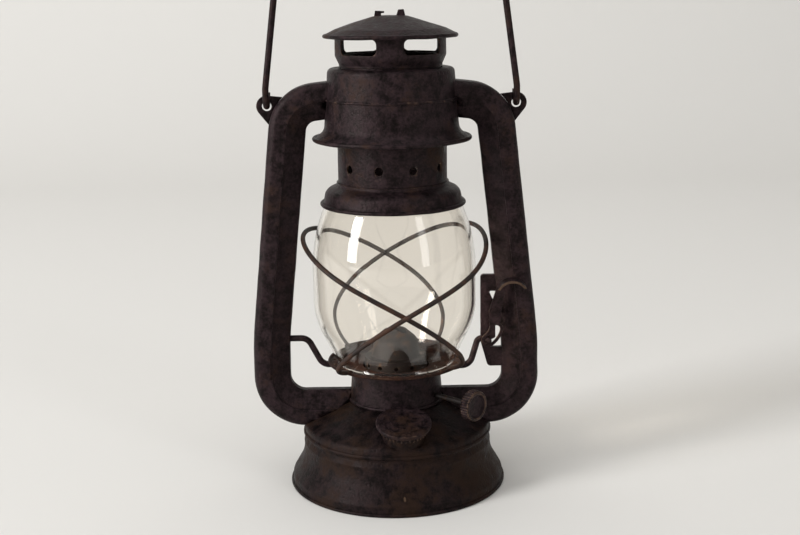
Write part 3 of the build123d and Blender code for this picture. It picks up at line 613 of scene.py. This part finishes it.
class Workpiece:
    """A mesh in the making, in metres, that ends as a piece riding on a body."""

    weld = 0.004 * MM
    splits = 7
    tight = 0.45 * MM
    wear_passes = 2
    bend_steps = 8
    bead_sides = 14
    ease_steps = 2
    sheet_cell = 2.0 * MM
    block_cell = 0.8 * MM
    flat_angle = math.radians(0.6)
    sharp_angle = math.radians(35)
    crease_angle = math.radians(40)

    def __init__(self, name: str, node: str) -> None:
        """Start an empty mesh.

        Args:
            name: Name of the finished piece.
            node: CAD node that the finished piece is shown in place of.
        """
        self.name = name.replace(" ", "-")
        self.node = node
        self.mesh = bmesh.new()

    def spin(self, verts: list[bmesh.types.BMVert], steps: int) -> None:
        """Spin a section once round the upright axis.

        Args:
            verts: Vertices of the section.
            steps: Steps in the full turn.
        """
        edges = dict.fromkeys(edge for vert in verts for edge in vert.link_edges)
        bmesh.ops.spin(
            self.mesh,
            geom=[*verts, *edges],
            cent=(0, 0, 0),
            axis=(0, 0, 1),
            dvec=(0, 0, 0),
            angle=math.tau,
            steps=steps,
            use_merge=True,
            use_duplicate=False,
        )
        bmesh.ops.remove_doubles(self.mesh, verts=self.mesh.verts[:], dist=self.weld)
        bmesh.ops.recalc_face_normals(self.mesh, faces=self.mesh.faces[:])

    def lathe(
        self, outline: list[Point], bends: list[float], wall: float = 0.0, steps: int = TURN_STEPS
    ) -> "Workpiece":
        """Spin an outline into a sheet with its wall inside, or into a block.

        Args:
            outline: Radius and height of each corner, in millimetres.
            bends: Bend radius at each corner between the ends.
            wall: Thickness of the sheet, or 0 where the outline closes on the axis.
            steps: Steps in the full turn.

        Returns:
            This workpiece.
        """
        part = Workpiece(self.name, self.node)
        verts = [part.mesh.verts.new((r * MM, 0, z * MM)) for r, z in outline]
        for first, second in zip(verts, verts[1:]):
            part.mesh.edges.new((first, second))
        corners = zip(outline, outline[1:], outline[2:])
        for vert, (before, here, after), bend in zip(verts[1:-1], corners, bends):
            turn = (Vector(here) - Vector(before)).angle(Vector(after) - Vector(here))
            if bend > 0:
                bmesh.ops.bevel(
                    part.mesh,
                    geom=[vert],
                    offset=bend * MM * math.tan(turn / 2),
                    segments=self.bend_steps,
                    profile=0.5,
                    affect="VERTICES",
                    material=-1,
                )
        part.split_long(self.sheet_cell if wall else self.block_cell)
        part.spin(part.mesh.verts[:], steps)
        if wall:
            bmesh.ops.solidify(part.mesh, geom=part.mesh.faces[:], thickness=wall * MM)
        return self.join(part)

    def prism(self, outline: list[Point], depth: float) -> "Workpiece":
        """Give an upright outline a thickness from front to back.

        Args:
            outline: Place across and height of each corner, in millimetres.
            depth: Thickness, half to each side.

        Returns:
            This workpiece.
        """
        part = Workpiece(self.name, self.node)
        face = part.mesh.faces.new(
            [part.mesh.verts.new((x * MM, -depth / 2 * MM, z * MM)) for x, z in outline]
        )
        made = bmesh.ops.extrude_face_region(part.mesh, geom=[face])
        moved = [item for item in made["geom"] if isinstance(item, bmesh.types.BMVert)]
        bmesh.ops.translate(part.mesh, vec=(0, depth * MM, 0), verts=moved)
        rims = [edge for edge in part.mesh.edges if edge.is_boundary]
        if rims:
            bmesh.ops.holes_fill(part.mesh, edges=rims)
        bmesh.ops.recalc_face_normals(part.mesh, faces=part.mesh.faces[:])
        return self.join(part)

    def block(self, size: Place, cell: float) -> "Workpiece":
        """Make a block that stands on the ground, cut into cells.

        Args:
            size: Width, depth and height, in millimetres.
            cell: Size of the cells.

        Returns:
            This workpiece.
        """
        made = bmesh.ops.create_cube(self.mesh, size=1.0)
        bmesh.ops.scale(self.mesh, vec=[side * MM for side in size], verts=made["verts"])
        bmesh.ops.translate(self.mesh, vec=(0, 0, size[2] / 2 * MM), verts=made["verts"])
        for axis, side in enumerate(size):
            edges = [
                edge
                for edge in self.mesh.edges
                if abs(edge.verts[0].co[axis] - edge.verts[1].co[axis]) > 0.9 * side * MM
            ]
            bmesh.ops.subdivide_edges(
                self.mesh, edges=edges, cuts=max(int(side / cell) - 1, 1), use_grid_fill=True
            )
        return self

    def roll(self, radius: float, height: float, thick: float) -> None:
        """Spin a round bead.

        Args:
            radius: Radius of the bead's centre line, in millimetres.
            height: Height of its centre line.
            thick: Radius of the bead itself.
        """
        part = Workpiece(self.name, self.node)
        place = Matrix.Translation((radius * MM, 0, height * MM)) @ Matrix.Rotation(math.pi / 2, 4, "X")
        made = bmesh.ops.create_circle(
            part.mesh, segments=self.bead_sides, radius=thick * MM, matrix=place
        )
        part.spin(made["verts"], TURN_STEPS)
        self.join(part)

    def join(self, other: "Workpiece") -> "Workpiece":
        """Take another workpiece's mesh into this one.

        Args:
            other: The workpiece to take in, which is used up.

        Returns:
            This workpiece.
        """
        carrier = bpy.data.meshes.new(other.name)
        other.mesh.to_mesh(carrier)
        other.mesh.free()
        self.mesh.from_mesh(carrier)
        bpy.data.meshes.remove(carrier)
        return self

    def take(self) -> "Workpiece":
        """Copy the CAD node into this mesh.

        Returns:
            This workpiece.
        """
        self.mesh.from_mesh(frame["nodes"][self.node].data)
        bmesh.ops.remove_doubles(self.mesh, verts=self.mesh.verts[:], dist=self.weld)
        bmesh.ops.dissolve_degenerate(self.mesh, dist=self.weld, edges=self.mesh.edges[:])
        bmesh.ops.recalc_face_normals(self.mesh, faces=self.mesh.faces[:])
        return self

    def split_long(self, length: float) -> None:
        """Cut long edges into short ones.

        Args:
            length: Greatest length to leave, in metres.
        """
        for cuts in (7, 3, 1):
            edges = [edge for edge in self.mesh.edges if edge.calc_length() > length * (cuts + 1) * 0.75]
            if edges:
                bmesh.ops.subdivide_edges(self.mesh, edges=edges, cuts=cuts)

    def refine(self, length: float) -> "Workpiece":
        """Give a copied node enough vertices to carry dents and wear.

        Args:
            length: Greatest edge length to leave, in millimetres.

        Returns:
            This workpiece.
        """
        bmesh.ops.triangulate(self.mesh, faces=self.mesh.faces[:])
        for _ in range(self.splits):
            edges = [edge for edge in self.mesh.edges if edge.calc_length() > length * MM]
            if not edges:
                break
            bmesh.ops.subdivide_edges(self.mesh, edges=edges, cuts=1)
            bmesh.ops.triangulate(self.mesh, faces=self.mesh.faces[:])
        return self

    def ease(self, width: float) -> "Workpiece":
        """Round the sharp edges.

        Args:
            width: Width of the rounding, in millimetres.

        Returns:
            This workpiece.
        """
        bmesh.ops.dissolve_limit(
            self.mesh,
            angle_limit=self.flat_angle,
            verts=self.mesh.verts[:],
            edges=self.mesh.edges[:],
        )
        sharp = [
            edge
            for edge in self.mesh.edges
            if edge.is_manifold and edge.calc_face_angle(0.0) > self.sharp_angle
        ]
        bmesh.ops.bevel(
            self.mesh,
            geom=sharp,
            offset=width * MM,
            segments=self.ease_steps,
            profile=0.5,
            affect="EDGES",
            material=-1,
            clamp_overlap=True,
        )
        bmesh.ops.recalc_face_normals(self.mesh, faces=self.mesh.faces[:])
        return self

    def unsettle(self, amount: float, size: float, low: float = -1.0) -> "Workpiece":
        """Move the surface a little, as hand work and knocks do.

        Args:
            amount: Greatest movement, in millimetres.
            size: Size of the dents, in millimetres.
            low: Height below which nothing moves, so that feet stay flat.

        Returns:
            This workpiece.
        """
        for vert in self.mesh.verts:
            free = min(max((vert.co.z / MM - low) / size, 0.0), 1.0)
            vert.co += noise.noise_vector(vert.co / (size * MM)) * amount * MM * free
        return self

    def shape(self, change: Callable[[Vector], Vector]) -> "Workpiece":
        """Move each vertex by a rule.

        Args:
            change: Gives the new place of a vertex from its old one.

        Returns:
            This workpiece.
        """
        for vert in self.mesh.verts:
            vert.co = change(vert.co)
        return self

    def move(self, place: Matrix) -> "Workpiece":
        """Put the mesh in its place.

        Args:
            place: Transform from the mesh's own frame.

        Returns:
            This workpiece.
        """
        bmesh.ops.transform(self.mesh, matrix=place, verts=self.mesh.verts[:])
        return self

    def wear_values(self) -> list[float]:
        """Work out how far each vertex stands out from its neighbours.

        Returns:
            A value from 0 in hollows and flats to 1 on tight rims, by vertex.
        """
        self.mesh.normal_update()
        self.mesh.verts.index_update()
        values = []
        for vert in self.mesh.verts:
            bend = 0.0
            for edge in vert.link_edges:
                along = vert.co - edge.other_vert(vert).co
                reach = max(along.length_squared, self.weld**2)
                bend = max(bend, 2 * along.dot(vert.normal) / reach)
            values.append(min(max(bend * self.tight, 0.0), 1.0))
        for _ in range(self.wear_passes):
            values = [
                0.5 * values[vert.index]
                + 0.5
                * sum(values[edge.other_vert(vert).index] for edge in vert.link_edges)
                / max(len(vert.link_edges), 1)
                for vert in self.mesh.verts
            ]
        return values

    def done(self, body: Body, finish: Finish, slot: Slot) -> bpy.types.Object:
        """Make the piece's object, dress it and let it ride.

        Args:
            body: Body that it moves with.
            finish: Its finish.
            slot: Material slot of the record; not used.

        Returns:
            The finished object.
        """
        values = self.wear_values() if isinstance(finish, AgedPaint) else []
        data = bpy.data.meshes.new(self.name)
        self.mesh.to_mesh(data)
        self.mesh.free()
        data.shade_smooth()
        data.set_sharp_from_angle(angle=self.crease_angle)
        if values:
            wear = data.attributes.new("wear", "FLOAT", "POINT")
            wear.data.foreach_set("value", values)
        data.materials.append(finish.material())
        piece = bpy.data.objects.new(self.name, data)
        bpy.context.scene.collection.objects.link(piece)
        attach(piece, body.value)
        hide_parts(self.node)
        log.info("%s: %d faces on %s", self.name, len(data.polygons), body.value)
        return piece


def dress(node: str, finish: Finish) -> None:
    """Keep a CAD node in view, with soft shading and a finish.

    Args:
        node: Name of the node.
        finish: Its finish.
    """
    piece = frame["nodes"][node]
    piece.data.materials.clear()
    piece.data.materials.append(finish.material())
    piece.data.shade_smooth()
    weld = piece.modifiers.new("weld", "WELD")
    weld.merge_threshold = Workpiece.weld
    split = piece.modifiers.new("edges", "EDGE_SPLIT")
    split.split_angle = Workpiece.sharp_angle
    log.info("%s: CAD node in %s", node, finish.name)


def stand(axis: Vector, place: Vector) -> Matrix:
    """Give the transform that stands a mesh's own upright along an axis.

    Args:
        axis: The axis.
        place: Where the mesh's origin goes.

    Returns:
        The transform.
    """
    return Matrix.Translation(place) @ axis.to_track_quat("Z", "Y").to_matrix().to_4x4()


def serrated(radius: float, low: float, high: float, teeth: int, depth: float) -> Callable[[Vector], Vector]:
    """Make a rule that presses grooves into an upright wall.

    Args:
        radius: Least radius that is grooved, in millimetres.
        low: Lower end of the grooves.
        high: Upper end of the grooves.
        teeth: Number of grooves.
        depth: Their depth.

    Returns:
        The rule, for a place in the wall's own frame.
    """

    def press(place: Vector) -> Vector:
        """Move one place in the wall's own frame inwards."""
        reach = math.hypot(place.x, place.y)
        if reach < radius * MM or not low * MM <= place.z <= high * MM:
            return place
        turn = math.atan2(place.y, place.x) * teeth
        left = 1 - 0.5 * depth * MM * (1 - math.cos(turn)) / reach
        return Vector((place.x * left, place.y * left, place.z))

    return press


@dataclass
class Fount:
    """Flared oil fount with its domed top, in millimetres."""

    wall: float = 0.8
    base_radius: float = 55.8
    skirt_radius: float = 48.0
    skirt_height: float = 26.0
    groove: float = 0.9
    band_height: float = 22.4
    flare_height: float = 16.5
    foot_height: float = 5.2
    foot_inset: float = 1.2
    foot_roll: float = 0.9
    bead: float = 0.8
    dome_top: float = 43.0
    shoulder_rise: float = 5.8
    dome_flat_radius: float = 24.6
    dome_mouth: float = 12.8
    seam_step: float = 0.5

    def build(self) -> None:
        """Build the skirt, the dome and what is inside them."""
        foot = self.base_radius - self.foot_roll
        skirt = Workpiece("skirt", "fount_skirt").lathe(
            [
                (self.skirt_radius - self.groove, self.skirt_height + self.bead),
                (self.skirt_radius - self.groove, self.skirt_height - self.groove),
                (self.skirt_radius + self.seam_step, self.band_height),
                (self.skirt_radius, self.flare_height),
                (self.base_radius - self.foot_inset, self.foot_height),
                (foot, self.foot_roll),
            ],
            [1.0, 1.6, 16.0, 2.4],
            self.wall,
        )
        skirt.roll(foot, self.foot_roll, self.foot_roll)
        skirt.unsettle(0.3, 24.0, 2.0).done(Body.FRAME, BASE_PAINT, Slot.FOUNT)
        dome = Workpiece("dome", "fount_dome").lathe(
            [
                (self.dome_mouth, self.dome_top),
                (self.dome_flat_radius, self.dome_top),
                (self.skirt_radius - self.seam_step, self.skirt_height + self.shoulder_rise),
                (self.skirt_radius, self.skirt_height + 2 * self.bead),
                (self.skirt_radius, self.skirt_height + self.bead),
            ],
            [2.0, 3.0, self.seam_step],
            self.wall,
        )
        dome.roll(self.skirt_radius - self.seam_step, self.skirt_height + 2 * self.bead, 1.5 * self.bead)
        dome.unsettle(0.25, 18.0, 2.0).done(Body.FRAME, BASE_PAINT, Slot.FOUNT)
        dress("fount_bottom", BASE_PAINT)
        dress("filler_neck", BASE_PAINT)
        dress("burner_collar", BRASS)


@dataclass
class Filler:
    """Filler cap on the front of the dome, in millimetres along its own axis."""

    radius: float = 13.7
    height: float = 4.8
    flange: float = 2.2
    skirt_radius: float = 11.9
    wall: float = 0.8
    ring_radius: float = 10.2
    ring_depth: float = 0.4
    ring_slope: float = 1.0
    teeth: int = 36
    tooth_depth: float = 0.9
    tooth_gap: float = 0.1

    def build(self) -> None:
        """Build the cap, a disc on a serrated skirt, and dress its seal."""
        under = self.height - self.flange
        cap = Workpiece("filler cap", "filler_cap").lathe(
            [
                (0.0, self.height - self.ring_depth),
                (self.ring_radius - self.ring_slope, self.height - self.ring_depth),
                (self.ring_radius, self.height),
                (self.radius, self.height),
                (self.radius, under),
                (self.skirt_radius, under),
                (self.skirt_radius, 0.0),
            ],
            [1.2, 1.2, 0.8, 0.8, 0.3],
            self.wall,
            TOOTH_STEPS * self.teeth,
        )
        middle = self.skirt_radius - self.wall / 2
        cap.shape(serrated(middle, -1.0, under - self.tooth_gap, self.teeth, self.tooth_depth))
        place = stand(Vector(joint("cap_lift")["axis"]), Vector(joint("cap_turn")["pos_m"]))
        cap.unsettle(0.12, 5.0).move(place)
        cap.done(Body.CAP, CAP_PAINT, Slot.CAP)
        dress("cap_gasket", RUBBER)


@dataclass
class Shell:
    """Tubes, hood and neck that hold the lantern together, in millimetres."""

    wall: float = 0.8
    mouth_radius: float = 25.4
    top_radius: float = 31.2
    waist_radius: float = 33.6
    waist_rise: float = 5.2
    brim_radius: float = 39.7
    roll: float = 1.1
    bead_rise: float = 20.4
    bead: float = 0.7
    edge: float = 0.4
    tube_draw: float = 0.998
    tube_cell: float = 5.0
    ear_cell: float = 0.9
    neck_cell: float = 4.0

    def build(self) -> None:
        """Build the hood and copy the tubes, ears and neck."""
        rim, top = span("hood")
        lean = (self.waist_radius - self.top_radius) / (top - rim - self.waist_rise)
        bead_radius = self.waist_radius - lean * (self.bead_rise - self.waist_rise)
        brim = self.brim_radius - self.roll
        hood = Workpiece("hood shell", "hood").lathe(
            [
                (self.mouth_radius, top),
                (self.top_radius, top),
                (self.waist_radius, rim + self.waist_rise),
                (brim, rim + self.roll),
            ],
            [2.4, 5.0],
            self.wall,
        )
        hood.roll(brim, rim + self.roll, self.roll)
        hood.roll(bead_radius, rim + self.bead_rise, self.bead)
        hood.unsettle(0.22, 16.0).done(Body.FRAME, BODY_PAINT, Slot.FRAME)
        for side in ("left", "right"):
            for half in ("outer", "inner"):
                tube = Workpiece(f"{side} {half} tube", f"{side}_tube_{half}").take().refine(self.tube_cell)
                tube.unsettle(0.14, 9.0).move(Matrix.Scale(self.tube_draw, 4, (1.0, 0.0, 0.0)))
                tube.done(Body.FRAME, TUBE_PAINT, Slot.FRAME)
            ear = Workpiece(f"{side} bail ear", f"{side}_ear").take().ease(self.edge).refine(self.ear_cell)
            ear.done(Body.FRAME, TUBE_PAINT, Slot.FRAME)
        neck = Workpiece("neck", "air_chamber").take().refine(self.neck_cell)
        neck.unsettle(0.05, 9.0).done(Body.FRAME, BODY_PAINT, Slot.FRAME)


@dataclass
class Chimney:
    """Bell, pierced collar and vented roof over the globe, in millimetres."""

    wall: float = 0.8
    collar_radius: float = 27.2
    bell_radius: float = 36.5
    bell_drop: float = 1.4
    bell_shoulder: Point = (5.6, 7.8)
    bell_foot: Point = (6.6, 2.6)
    lip: float = 1.0
    roof_radius: float = 33.2
    kink_radius: float = 27.4
    kink_rise: float = 4.3
    crown_lift: float = 1.2
    crown_radius: float = 8.0
    roll: float = 1.05
    edge: float = 0.25
    stub_depth: float = 2.2
    stub_wear: float = 0.6
    stub_cell: float = 0.5
    left_foot: Point = (-7.7, -4.2)
    left_top: tuple[Point, ...] = ((-4.3, -1.2), (-2.8, -1.1), (-2.7, -0.2), (-7.3, 0.0))
    right_foot: Point = (2.9, 7.7)
    right_top: tuple[Point, ...] = ((6.7, 0.0), (4.0, -0.2))

    def build(self) -> None:
        """Build the bell, the roof and its stubs, and copy the rest."""
        self.build_bell()
        self.build_roof()
        for node, fine in (("perforated_collar", 6.0), ("vent_body", 1.8)):
            copy = Workpiece(node.replace("_", " "), node).take().ease(self.edge).refine(fine)
            copy.unsettle(0.12, 7.0).done(Body.CHIMNEY, BODY_PAINT, Slot.CHIMNEY)
        dress("chimney_tube", BODY_PAINT)
        self.build_spring()

    def build_spring(self) -> None:
        """Copy the spring in the hood."""
        low, high = span("chimney_spring")
        travel = joint("chimney_lift")["range_m"][1] / MM
        coil = Workpiece("coil spring", "chimney_spring").take()
        spring = coil.done(Body.FRAME, SPRING_STEEL, Slot.SPRING)
        1 - travel / (high - low)
        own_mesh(spring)

    def build_bell(self) -> None:
        """Build the bell that sits on the globe."""
        rim, top = span("globe_cap")
        neck = self.collar_radius + self.wall
        edge = self.bell_radius - self.lip
        sides = [(neck + out, rim + rise) for out, rise in (self.bell_shoulder, self.bell_foot)]
        bell = Workpiece("bell", "globe_cap").lathe(
            [(neck, top), (neck, top - self.bell_drop), *sides, (edge, rim + self.lip)],
            [1.6, 4.2, 1.6],
            self.wall,
        )
        bell.roll(edge, rim + self.lip, self.lip)
        bell.unsettle(0.18, 12.0).done(Body.CHIMNEY, BODY_PAINT, Slot.CHIMNEY)

    def build_roof(self) -> None:
        """Build the roof and the two stubs that a ring once hung from."""
        brim, top = span("vent_roof")
        crown = top + self.crown_lift
        edge = self.roof_radius - self.roll
        roof = Workpiece("roof", "vent_roof").lathe(
            [
                (0.0, crown),
                (self.crown_radius, crown),
                (self.kink_radius, brim + self.kink_rise),
                (edge, brim + 1.9 * self.roll),
            ],
            [6.0, 3.0],
            self.wall,
        )
        roof.roll(edge, brim + self.roll, self.roll)
        roof.unsettle(0.26, 11.0).done(Body.CHIMNEY, BODY_PAINT, Slot.CHIMNEY)
        foot = crown - self.wall
        high = span("ring_lugs")[1]
        nub = high - self.stub_wear
        left = [(x, foot) for x in self.left_foot] + [(x, nub + z) for x, z in self.left_top]
        right = [(x, foot) for x in self.right_foot] + [(x, high + z) for x, z in self.right_top]
        stubs = Workpiece("ring stubs", "ring_lugs")
        stubs.prism(left, self.stub_depth).prism(right, self.stub_depth)
        stubs.ease(self.edge).refine(self.stub_cell).unsettle(0.14, 1.6)
        stubs.done(Body.CHIMNEY, BODY_PAINT, Slot.CHIMNEY)


@dataclass
class Carriage:
    """Globe, its plate and the wires that lift and guard it, in millimetres."""

    edge: float = 0.2
    plate_cell: float = 3.0

    def build(self) -> None:
        """Copy the plate and wires and dress the globe."""
        plate = Workpiece("plate", "globe_plate").take().ease(self.edge).refine(self.plate_cell)
        plate.unsettle(0.1, 8.0).done(Body.CARRIAGE, PLATE_PAINT, Slot.PLATE)
        for node, finish in (
            ("left_lift_wire", LEVER_PAINT),
            ("right_lift_wire", LEVER_PAINT),
            ("guard_wire_outer", GUARD_STEEL),
            ("guard_wire_inner", GUARD_STEEL),
        ):
            Workpiece(node.replace("_", " "), node).take().done(Body.CARRIAGE, finish, Slot.GUARD)
        dress("globe", GLASS)


@dataclass
class Lever:
    """Lever, pin and bracket on the right tube, in millimetres."""

    edge: float = 0.4
    cell: float = 1.3

    def build(self) -> None:
        """Copy the pieces with rounded, worn edges."""
        for name, node, body in (
            ("bracket", "lever_bracket", Body.FRAME),
            ("lever hinge", "lever_pin", Body.FRAME),
            ("lever", "lift_lever", Body.LEVER),
        ):
            copy = Workpiece(name, node).take().ease(self.edge).refine(self.cell)
            copy.unsettle(0.08, 4.0).done(body, LEVER_PAINT, Slot.LEVER)


@dataclass
class Burner:
    """Burner, wick and the knob that winds it, in millimetres."""

    knob_radius: float = 7.8
    knob_thickness: float = 5.0
    knob_reach: float = 51.4
    knob_back: tuple[Point, ...] = ((0.4, 0.0), (0.0, 0.8))
    knob_front: tuple[Point, ...] = ((0.0, 1.0), (0.5, 0.0), (1.7, 0.0), (2.5, 1.4))
    knob_dish: float = 1.6
    knob_ridges: int = 36
    ridge_inset: float = 0.9
    ridge_ends: Point = (0.3, 0.5)
    ridge_depth: float = 0.35
    wick_width: float = 11.0
    wick_thickness: float = 2.0
    thread: float = 1.1
    weave_depth: float = 0.22
    fray: float = 1.6
    fray_size: float = 0.9
    fray_length: float = 4.0

    def build(self) -> None:
        """Dress the burner and build the wick and knob."""
        for node in ("burner_cup", "burner_cone", "wick_tube", "wick_shaft", "wick_wheels"):
            dress(node, BRASS)
        self.build_knob()
        self.build_wick()

    def build_knob(self) -> None:
        """Build the dished knob with ridges round its rim."""
        rim = self.knob_radius
        face = self.knob_thickness
        knob = Workpiece("knob", "wick_knob").lathe(
            [
                (0.0, 0.0),
                *((rim - inset, rise) for inset, rise in self.knob_back),
                *((rim - inset, face - drop) for inset, drop in self.knob_front),
                (0.0, face - self.knob_dish),
            ],
            [0.6, 0.8, 0.8, 0.5, 0.5, 0.8],
            steps=TOOTH_STEPS * self.knob_ridges,
        )
        low, high = self.ridge_ends[0], face - self.ridge_ends[1]
        knob.shape(serrated(rim - self.ridge_inset, low, high, self.knob_ridges, self.ridge_depth))
        turn = joint("knob_turn")
        out = Vector(turn["axis"])
        place = Vector(turn["pos_m"]) + out * (self.knob_reach - face) * MM
        knob.move(stand(out, place)).done(Body.WICK_DRIVE, CAP_PAINT, Slot.BRASS)

    def build_wick(self) -> None:
        """Build the woven band with its burnt, frayed end."""
        low, high = span("wick")
        size = (self.wick_width - self.weave_depth, self.wick_thickness - self.weave_depth, high - low)
        wick = Workpiece("woven wick", "wick").block(size, self.thread / 3)

        def weave(place: Vector) -> Vector:
            """Raise the band's threads and fray its top, at one place in its own frame."""
            turn = math.tau / (self.thread * MM)
            raised = math.sin(place.x * turn) * math.sin(place.z * turn)
            side = math.copysign(1.0, place.y)
            spot = Vector((place.x, place.y, 0.0)) / (self.fray_size * MM)
            drop = abs(noise.noise(spot)) * self.fray * MM
            near = max((place.z / MM - size[2] + self.fray_length) / self.fray_length, 0.0)
            return place + Vector((0.0, side * raised * self.weave_depth / 2 * MM, -drop * near))

        along = Vector(joint("knob_turn")["axis"])
        turn = Matrix.Rotation(math.atan2(along.y, along.x), 4, "Z")
        wick.shape(weave).move(Matrix.Translation((0, 0, low * MM)) @ turn)
        wick.done(Body.WICK, COTTON, Slot.COTTON)


@dataclass
class Bail:
    """Wire handle over the lantern."""

    def build(self) -> None:
        """Copy the handle."""
        Workpiece("bail", "bail_wire").take().done(Body.BAIL, BAIL_STEEL, Slot.BAIL)


@dataclass(frozen=True)
class Lamp:
    """Soft lamp with a flat face, in metres and watts."""

    name: str
    place: Place
    size: Point
    watts: float


@dataclass
class Studio:
    """Plain pale room, soft lights and the camera, in metres and degrees."""

    floor_colour: Colour = srgb(226, 224, 220)
    floor_roughness: float = 0.9
    floor_width: float = 16.0
    floor_depth: float = 9.0
    floor_near: float = -8.0
    wall_height: float = 3.0
    sweep: float = 0.9
    camera_place: Place = (0.0029, -0.62, 0.2523)
    camera_down: float = 12.73
    camera_roll: float = -0.95
    lens: float = 56.25
    sensor: float = 36.0
    nearest: float = 0.01
    sky: float = 0.32
    sky_colour: Colour = (1.0, 0.99, 0.97, 1.0)
    aim: Place = (0.0, 0.0, 0.13)
    lamps: tuple[Lamp, ...] = (
        Lamp("left window", (-2.4, -1.3, 1.1), (0.7, 2.0), 84.0),
        Lamp("right window", (1.9, -1.9, 1.0), (0.54, 2.0), 10.0),
        Lamp("top", (0.0, -0.1, 2.4), (2.4, 2.4), 19.0),
    )

    def build(self) -> None:
        """Build the room, the lights and the camera."""
        self.build_floor()
        self.build_world()
        for lamp in self.lamps:
            self.build_lamp(lamp)
        self.build_camera()
        bpy.context.scene.view_settings.view_transform = "Standard"

    def build_floor(self) -> None:
        """Build the floor that sweeps up into a back wall."""
        mesh = bmesh.new()
        back = self.floor_near + self.floor_depth + self.sweep
        profile = [(self.floor_near, 0.0), (back, 0.0), (back, self.wall_height)]
        path = [mesh.verts.new((-self.floor_width / 2, y, z)) for y, z in profile]
        for first, second in zip(path, path[1:]):
            mesh.edges.new((first, second))
        bmesh.ops.bevel(
            mesh, geom=[path[1]], offset=self.sweep, segments=16, profile=0.5, affect="VERTICES", material=-1
        )
        made = bmesh.ops.extrude_edge_only(mesh, edges=mesh.edges[:])
        moved = [item for item in made["geom"] if isinstance(item, bmesh.types.BMVert)]
        bmesh.ops.translate(mesh, vec=(self.floor_width, 0, 0), verts=moved)
        bmesh.ops.recalc_face_normals(mesh, faces=mesh.faces[:])
        data = bpy.data.meshes.new("studio floor")
        mesh.to_mesh(data)
        mesh.free()
        data.shade_smooth()
        shader = Shader("studio floor")
        shader.surface(
            shader.principled({"Base Color": self.floor_colour, "Roughness": self.floor_roughness})
        )
        data.materials.append(shader.material)
        floor = bpy.data.objects.new("studio floor", data)
        bpy.context.scene.collection.objects.link(floor)

    def build_world(self) -> None:
        """Build the even light from all round."""
        world = bpy.data.worlds.new("studio sky")
        bpy.context.scene.world = world
        world.use_nodes = True
        background = world.node_tree.nodes["Background"]
        background.inputs["Color"].default_value = self.sky_colour
        background.inputs["Strength"].default_value = self.sky

    def build_lamp(self, lamp: Lamp) -> None:
        """Build one soft lamp that looks at the lantern.

        Args:
            lamp: Its name, place, size and power.
        """
        light = bpy.data.lights.new(lamp.name, "AREA")
        light.shape = "RECTANGLE"
        light.size, light.size_y = lamp.size
        light.energy = lamp.watts
        source = bpy.data.objects.new(lamp.name, light)
        source.location = lamp.place
        towards = Vector(self.aim) - Vector(lamp.place)
        source.rotation_euler = towards.to_track_quat("-Z", "Y").to_euler()
        bpy.context.scene.collection.objects.link(source)

    def build_camera(self) -> None:
        """Put the camera where the photograph was taken from."""
        data = bpy.data.cameras.new("camera")
        data.sensor_width = self.sensor
        data.lens = self.lens
        data.clip_start = self.nearest
        camera = bpy.data.objects.new("camera", data)
        pitch = Matrix.Rotation(math.radians(90 - self.camera_down), 4, "X")
        roll = Matrix.Rotation(math.radians(self.camera_roll), 4, "Z")
        camera.matrix_world = Matrix.Translation(self.camera_place) @ pitch @ roll
        bpy.context.scene.collection.objects.link(camera)
        bpy.context.scene.camera = camera


def main() -> None:
    """Build and dress the whole lantern in its studio."""
    logging.basicConfig(level=logging.INFO, format="%(name)s %(relativeCreated)d ms: %(message)s")
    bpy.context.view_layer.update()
    noise.seed_set(DENT_SEED)
    for assembly in (Fount(), Filler(), Shell(), Chimney(), Carriage(), Lever(), Burner(), Bail(), Studio()):
        assembly.build()


if __name__ == "__main__":
    main()
